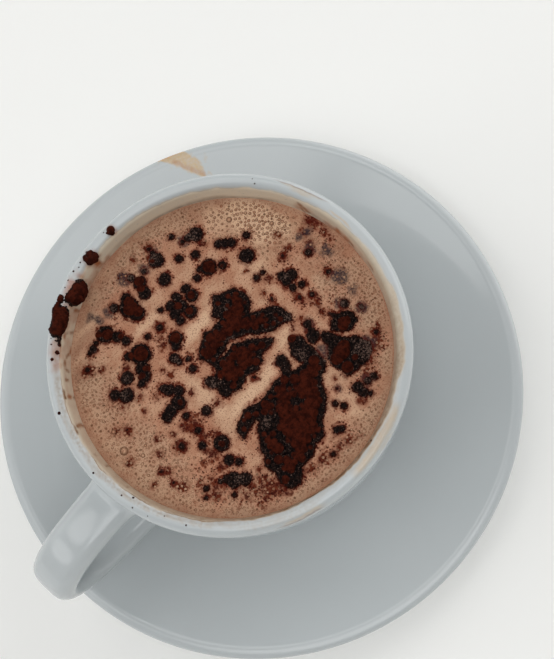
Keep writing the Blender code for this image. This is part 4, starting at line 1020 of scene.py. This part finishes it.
def makeFoamMaterial():
    # Milk foam steamed to fine bubbles over espresso: the eye gets a soft pinkish brown, grained
    # by painted shade in pinholes and open bubbles and by cocoa dust that has settled round the clots.
    material, add, place = newMaterial("milkFoam")
    dust, blot, fringe, veil, pale, smear, pit, ring = (
        add("Attribute", output="Fac", attribute_name=name)
        for name in ("dust", "blot", "fringe", "veil", "pale", "smear", "pit", "ring"))
    mottle, grain, wander, pores = (
        add("TexNoise", Vector=place, Scale=1 / (size * mm), Detail=detail, Roughness=roughness)
        for size, detail, roughness in foam["noises"])
    warmth = add("MapRange", mottle, 0.38, 0.64, **softTurn)
    pinholeShade = add("MapRange", grain, 0.51, 0.66, **softTurn)

    # Rows of small open bubbles: a ring of painted shade on a scattered grid of cells.
    cells = add("TexVoronoi", Vector=place, Scale=1 / (foam["pitSpacing"] * mm), Randomness=0.75,
                voronoi_dimensions='2D')
    chance = add("SeparateColor", cells.node.outputs["Color"])
    size = add("MapRange", chance, 0.0, 1.0, 0.04, 0.20)
    offRing = add("Math", add("Math", cells, size, operation='SUBTRACT'), operation='ABSOLUTE')
    rim = add("MapRange", offRing, 0.03, 0.16, 1.0, 0.0, **softTurn)
    pitShade = add("Math", rim, pit, operation='MULTIPLY')

    # Powder that floats thinly is red brown where it fades out, and nearly black in the middle.
    ragged = add("Math", wander, 0.8, -0.40, operation='MULTIPLY_ADD')
    torn = add("MapRange", wander, 0.34, 0.60, 0.62, 1.0, **softTurn)
    afloat = add("Math", blot, torn, operation='MULTIPLY')
    core = add("MapRange", add("Math", blot, ragged, operation='ADD'), 0.64, 1.10, **softTurn)
    # The veil is broken by the same fine noise; the fringe is where powder thins out round a clot.
    cloudy = add("MapRange", wander, 0.36, 0.60, 0.65, 1.0, **softTurn)
    misty = add("Math", cloudy, veil, operation='MULTIPLY')
    edging = add("Math", fringe, torn, operation='MULTIPLY')

    # Cocoa dust: round specks on scattered grids, each there only where the dust is thick enough.
    specks = []
    for width, tint, share in foam["specks"]:
        cells = add("TexVoronoi", Vector=place, Scale=1 / (width * mm), Randomness=1.0,
                    voronoi_dimensions='2D')
        chance = add("SeparateColor", cells.node.outputs["Color"])
        surplus = add("Math", dust, chance, operation='SUBTRACT')
        size = add("MapRange", surplus, -0.05, 0.55, -0.15, 0.62)
        within = add("Math", add("Math", size, cells, operation='SUBTRACT'), ragged, operation='ADD')
        specks.append((add("MapRange", within, -0.18, 0.26, **softTurn), tint, share))

    # Each layer covers those before it. The finest powder has dissolved and leaves the foam rosy.
    colour = linear(foam["bodyHex"])
    for amount, tint, share in ((warmth, "warm", 1.0), (pit, "beige", 0.6), (pale, "pale", 0.85),
                                (smear, "smear", 0.8), (dust, "rosy", 1.0), (pinholeShade, "speck", 0.8),
                                (pitShade, "pit", 0.65), (afloat, "red", 0.8), (core, "dust", 0.9), *specks,
                                (misty, "veil", 0.95), (edging, "fringe", 0.95), (ring, "ring", 0.9)):
        part = add("Math", amount, share, operation='MULTIPLY')
        colour = add("Mix", **colours, Factor_Float=part, A_Color=colour,
                     B_Color=linear(foam[tint + "Hex"]))
    level = add("Math", pitShade, -1.2, pores, operation='MULTIPLY_ADD')
    bump = add("Bump", Height=level, Strength=0.5, Distance=0.0001)
    add("OutputMaterial", Surface=add("BsdfPrincipled", colour, Roughness=foam["roughness"], Normal=bump,
                                      IOR=foam["ior"], **{"Specular IOR Level": foam["specular"]}))
    return material


def foamHeight(x, y):
    climb = smooth(foam["radius"] - foam["meniscusWidth"], foam["radius"], np.hypot(x, y)) ** 2
    return foam["z"] + softNoise(x, y, (0.08, 7.0, 50), (0.03, 1.8, 51)) + foam["meniscus"] * climb


def foamMarks(x, y):
    # What the attributes of the foam paint.
    inside = np.maximum.reduce(cocoaFields(x, y)[0])
    fringe = smooth(-0.85, -0.05, inside + softNoise(x, y, (0.35, 0.8, 52)))
    fringe *= 0.78 + softNoise(x, y, (0.22, 2.5, 53))
    stains = zoneField(x, y, foam["stains"]) * (0.7 + softNoise(x, y, (0.4, 1.5, 47)))
    blot = smooth(-1.2, 0.7, spotField(x, y, foam["blots"]) + softNoise(x, y, (0.6, 0.9, 56)))
    for run, width, weight in foam["streaks"]:
        away = lineField(x, y, run) + softNoise(x, y, (0.45, 0.9, 48))
        blot = np.maximum(blot, weight * smooth(width + 0.5, 0.3 * width - 0.2, away))
    near = smooth(-2.0, -0.2, inside) * (0.34 + softNoise(x, y, (0.36, 3.0, 54)))
    dust = np.maximum(zoneField(x, y, foam["dustZones"]) * (0.75 + softNoise(x, y, (0.45, 2.0, 57))), near)
    veil = smooth(-0.8, 0.7, spotField(x, y, foam["veils"]) + softNoise(x, y, (0.6, 1.1, 58)))
    coarse = zoneField(x, y, foam["coarseZones"])
    pale = np.maximum(zoneField(x, y, foam["smoothZones"]), np.maximum(2 * coarse - 1, 0))
    smear = zoneField(x, y, foam["smears"]) * (0.75 + softNoise(0.6 * x + 0.4 * y, 2.2 * y, (0.4, 2.0, 55)))
    pit = np.maximum(zoneField(x, y, foam["bubbleZones"]), 0.15) * smooth(42.4, 42.0, np.hypot(x, y))
    pit *= (1 - pale) * (1 - 0.75 * coarse) * (0.85 + softNoise(x, y, (0.3, 3.0, 59)))
    # The smear also takes a darker band round the foam's edge, against the wall.
    marks = {"dust": np.maximum(1.15 * dust, 0.6 * blot) + 0.05, "blot": blot, "veil": veil, "pale": pale,
             "fringe": np.maximum(fringe, stains), "pit": pit,
             "smear": np.maximum(smear, 0.5 * smooth(40.6, 42.3, np.hypot(x, y)))}
    return {key: np.clip(values, 0, 1) for key, values in marks.items()}


def makeFoam(material):
    step, radius = foam["step"], foam["radius"]
    line = np.arange(-radius - 3 * step, radius + 4 * step, step)
    row, column, faces, cuts = cutGrid(radius - np.hypot(*np.meshgrid(line, line)))
    x, y = line[0] + column * step, line[0] + row * step
    points = [tuple(p) for p in np.stack([x, y, foamHeight(x, y)], -1)]

    # The drink below, down the inside of the bowl.
    follows = dict(cuts)
    above = [cuts[0][0]]
    while follows[above[-1]] != above[0]:
        above.append(follows[above[-1]])
    turns = np.arctan2(y[above], x[above])
    gap = foam["wallGap"]
    for r, z in insideOutline()[:0:-1]:
        below = addRing(points, polar(r - gap, turns, z + gap))
        faces += [list(f) for f in zip(above, below, below[1:] + below[:1], above[1:] + above[:1])]
        above = below
    middle, = addRing(points, [(0.0, 0.0, cup["floorZ"] + gap)])
    faces += [[a, middle, b] for a, b in zip(above, above[1:] + above[:1])]
    plain = np.zeros(len(points) - len(x))
    marks = {key: np.append(values, plain) for key, values in foamMarks(x, y).items()}
    piece = newPiece("foamSurface", points, faces, material, marks)
    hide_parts("mocha")


def makeBubbles(material):
    # Domes of large bubbles with painted shade: darkest at the foot, where the film meets the foam, or
    # in the middle where the bubble has burst.
    random = np.random.default_rng(60)
    x, y = random.uniform(-foam["scatterHalf"], foam["scatterHalf"], (2, foam["bubbleTries"]))
    clear = np.maximum.reduce(cocoaFields(x, y)[0]) < -foam["bubbleClear"]
    zone, coarse, even = (zoneField(x, y, foam[key])
                          for key in ("bubbleZones", "coarseZones", "smoothZones"))
    keep = clear & (np.hypot(x, y) < foam["looseReach"])
    keep &= random.random(len(x)) < np.maximum(coarse, 0.7 * zone)
    keep &= random.random(len(x)) > 1.2 * even
    x, y, coarse, zone = x[keep], y[keep], coarse[keep], zone[keep]
    radius = random.uniform(*foam["bubbleRadius"], len(x))
    radius += coarse * random.uniform(*foam["bubbleMore"], len(x))
    order = spread(x, y, 2 * radius + 0.03 + 1.0 * (1 - np.maximum(coarse, 0.75 * zone)), 61)
    bubbles = [b for b in zip(x[order], y[order], radius[order])
               if all(dist(b[:2], g[:2]) > b[2] + g[2] + 0.1 for g in foam["bigBubbles"])]
    points, faces, ring = [], [], []
    for middleX, middleY, size in bubbles + list(foam["bigBubbles"]):
        big = size >= foam["bigFrom"]
        sides = foam["bigSides" if big else "smallSides"]
        middle = np.array([middleX, middleY, foamHeight(np.array(middleX), np.array(middleY))])
        turns = random.uniform(0, 6.28) + 2 * pi * np.arange(sides) / sides
        deep = 0.8 if big else random.uniform(0.45, 0.85)
        burst = size < foam["burstBelow"] and random.random() < foam["burstShare"]
        shares, rises, ringShades = zip(*foam["burst" if burst else "dome"])
        rings = [middle + size * polar(share, turns, rise) for share, rise in zip(shares, rises)]
        peak, base = (middle + (0, 0, size * rise) for rise in (rises[-1] + 0.03, rises[0]))
        addLump(points, faces, rings, peak, base)
        ring += [dark * deep for dark in ringShades for k in range(sides)] + [0.9 * ringShades[-1] * deep, deep]
    piece = newPiece("foamBubbles", points, faces, material, {"ring": ring})
    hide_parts("mocha")


def makeDust(material):
    # Grains and tiny clots of cocoa that lie loose on the foam, thickest round the clots.
    random = np.random.default_rng(65)
    x, y = random.uniform(-foam["scatterHalf"], foam["scatterHalf"], (2, foam["dustTries"]))
    inside = np.maximum.reduce(cocoaFields(x, y)[0])
    zone = zoneField(x, y, foam["dustZones"]) * (0.7 + softNoise(x, y, (0.5, 1.6, 66)))
    near = smooth(-1.5, -0.2, inside) * (0.55 + softNoise(x, y, (0.45, 1.8, 67)))
    blots = smooth(-0.3, 0.8, spotField(x, y, foam["blots"]) + softNoise(x, y, (0.3, 0.9, 56)))
    bare = 1 - 0.9 * zoneField(x, y, foam["smoothZones"])
    amount = np.maximum.reduce([0.20 * near, 0.15 * zone * bare, 0.30 * blots]) + 0.008 * bare
    keep = (inside < -0.05) & (np.hypot(x, y) < foam["looseReach"]) & (random.random(len(x)) < amount)
    x, y, amount = x[keep], y[keep], amount[keep]
    size = foam["dustSize"] + foam["dustMore"] * random.random(len(x)) ** 2.2 * (0.4 + amount)
    points, faces, marks = [], [], {"dry": [], "crown": [], "thin": []}
    for n in spread(x, y, foam["dustGap"] * size, 68):
        middle = np.array([x[n], y[n], foamHeight(x[n], y[n])])
        spin, squash, lean = random.uniform(0, 6.28), random.uniform(0.6, 1.0), random.uniform(0, 3.14)
        turns = spin + 2 * pi * np.arange(foam["grainSides"]) / foam["grainSides"]
        rings = []
        for share, rise in foam["grain"]:
            u, v = share * np.cos(turns), share * squash * np.sin(turns)
            oval = (u * cos(lean) - v * sin(lean), u * sin(lean) + v * cos(lean), 0 * turns + rise)
            rings.append(middle + size[n] * np.stack(oval, -1))
        peak, base = (middle + (0, 0, size[n] * rise) for rise in (0.5, -0.25))
        addLump(points, faces, rings, peak, base)
        for key, low, high in (("dry", 0.75, 1.0), ("crown", 0.4, 0.9), ("thin", 0.0, 0.9)):
            marks[key] += [random.uniform(low, high)] * (len(points) - len(marks[key]))
    piece = newPiece("cocoaDust", points, faces, material, marks | {"grey": [0] * len(points)})
    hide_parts("mocha")


# Cocoa spilt on the rim

rimCocoa = {
    # Outlines as (degrees about +Z, millimetres over the lip from the foam).
    "long": [(-64.5, 7.4), (-64, 6.3), (-62, 5.6), (-60, 5.3), (-57.5, 5.6), (-55.3, 6.4), (-53.5, 6.9),
        (-51, 6.8), (-51, 7.5), (-53.2, 8), (-54, 9.2), (-55.5, 10.3), (-58, 10.2), (-60.2, 10.4),
        (-62, 10.9), (-65, 10.8), (-67.6, 10.2), (-67.8, 8.9), (-66, 8.3), (-64.4, 8.8)],
    "round": [(-75.2, 5.5), (-75.1, 7), (-74.2, 7.6), (-72.5, 7.6), (-71, 8), (-69.5, 8.3),
        (-67.5, 8.5), (-65.9, 8), (-65.4, 6.5), (-65.7, 4.8), (-66.4, 3.3), (-67.5, 2.1), (-69, 1.3),
        (-73.2, 1.2), (-74.7, 2.6)],
    "crumbs": [(-83.3, 7.3, 1.9), (-82.2, 7.2, 1.2), (-84, 7.9, 1.1), (-94.9, 8.3, 1.25),
        (-94.4, 7.4, 0.7), (-46, 8.8, 0.45), (-48.3, 7.5, 0.6), (-51, 7, 0.5), (-28, 9.2, 0.45),
        (-5.3, 9.2, 0.3), (10, 7.4, 0.3), (6.5, 8.6, 0.25), (22, 8.2, 0.2), (29.5, 8.9, 0.25),
        (11.5, 9.7, 0.22), (17, 9.8, 0.2), (97.9, 6.9, 0.28), (-148, 7.8, 0.22), (-147, 9, 0.2),
        (-56, 8, 0.3), (-54, 8.7, 0.28), (-52.3, 8.2, 0.25), (-51, 9.2, 0.25), (-53, 9.5, 0.2),
        (-93.2, 8.4, 0.28), (-92.6, 9.1, 0.22), (-84, 9.2, 0.3), (-80, 9, 0.25), (-78.4, 8.6, 0.22),
        (-76.4, 9.4, 0.3), (-73, 9.6, 0.25), (-70.4, 9.5, 0.22)],
    "step": 0.16, "topZ": 76.6, "sunk": 0.2, "trim": 0.06,
    "room": 3.5, "travel": (0.4, 12.2),     # round each outline, and over the lip
    "speckBelow": 0.6, "crumbCaps": 9,
}


def lipPlace(along, travel, height):
    # Points at a height over the lip, from the way along and over it.
    lip, way = lipOutline()
    radii, heights = np.array(lip[1:]).T
    radius, z = np.interp(travel, way, radii), np.interp(travel, way, heights)
    runR, runZ = (np.interp(travel + 0.3, way, values) - np.interp(travel - 0.3, way, values)
                  for values in (radii, heights))
    size = np.hypot(runR, runZ)
    radius, z = radius - height * runZ / size, z + height * runR / size
    return polar(radius, along / cup["wallRadius"], np.minimum(z, rimCocoa["topZ"]))


def crumbCaps(crumbs, random):
    # A speck is one cap, and a crumb a large one with smaller ones round it.
    caps = []
    for middleX, middleY, size in crumbs:
        single = size < rimCocoa["speckBelow"]
        for k in range(1 if single else rimCocoa["crumbCaps"]):
            a, d = random.uniform(0, 6.28), (0 if k == 0 else random.uniform(0.3, 0.7) * size)
            caps.append((middleX + d * cos(a), middleY + d * sin(a),
                         size * (1.0 if single else 0.9 if k == 0 else random.uniform(0.40, 0.62)),
                         size * random.uniform(0.55, 0.8)))
    return caps


def makeRimCocoa(material):
    step, room, sunk = rimCocoa["step"], rimCocoa["room"], rimCocoa["sunk"]
    for name, key, node, seed, rise in (("rimClumpLong", "long", "cocoa_rim_long", 70, 0.70),
                                        ("rimClumpRound", "round", "cocoa_rim_round", 80, 1.05),
                                        ("rimCrumbs", "crumbs", "cup", 90, 0.0)):
        shape = [(cup["wallRadius"] * radians(p[0]), *p[1:]) for p in rimCocoa[key]]
        alongLine = np.arange(min(p[0] for p in shape) - room, max(p[0] for p in shape) + room, step)
        travelLine = np.arange(*rimCocoa["travel"], step)
        x, y = np.meshgrid(alongLine, travelLine)
        bentX = x + softNoise(x, y, (0.25, 1.5, seed + 2), (0.12, 0.5, seed + 3))
        bentY = y + softNoise(x, y, (0.25, 1.5, seed + 4), (0.12, 0.5, seed + 5))
        if key == "crumbs":
            height = np.zeros(x.shape)
            raiseCaps(height, x, y, crumbCaps(shape, np.random.default_rng(seed)))
            crown, dry = crownOf(height), 0.8 + 0 * x
        else:
            inside = outlineField(bentX, bentY, shape)
            powdery = inside - 0.35 + softNoise(x, y, (0.5, 1.8, seed + 6))
            height, crown, dry = heapUp(x, y, inside, powdery, seed)
            height += rise * smooth(0.0, 2.6, inside)
            mottled = inside - 0.30 + softNoise(x, y, (0.55, 1.3, seed + 6))
            dry = np.maximum(dry, smooth(-0.1, 0.35, mottled))
        margin = np.minimum(np.minimum(x - alongLine[1], alongLine[-2] - x),
                            np.minimum(y - travelLine[1], travelLine[-2] - y))

        def place(row, column, upper):
            along, travel = alongLine[0] + column * step, travelLine[0] + row * step
            return lipPlace(along, travel, readGrid(height, row, column) if upper else -sunk + 0 * row)

        piece = heapPiece(name, np.minimum(height - rimCocoa["trim"], margin), place,
                          {"dry": dry, "crown": crown, "grey": 0 * x, "thin": 0 * x}, material)
        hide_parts(node)


makeView()
glaze = makePorcelain()
makeSaucer(glaze)
makeCup(glaze)
milk = makeFoamMaterial()
makeFoam(milk)
makeBubbles(milk)
powder = makeCocoa()
makeCocoaPatches(powder)
makeDust(powder)
makeRimCocoa(powder)
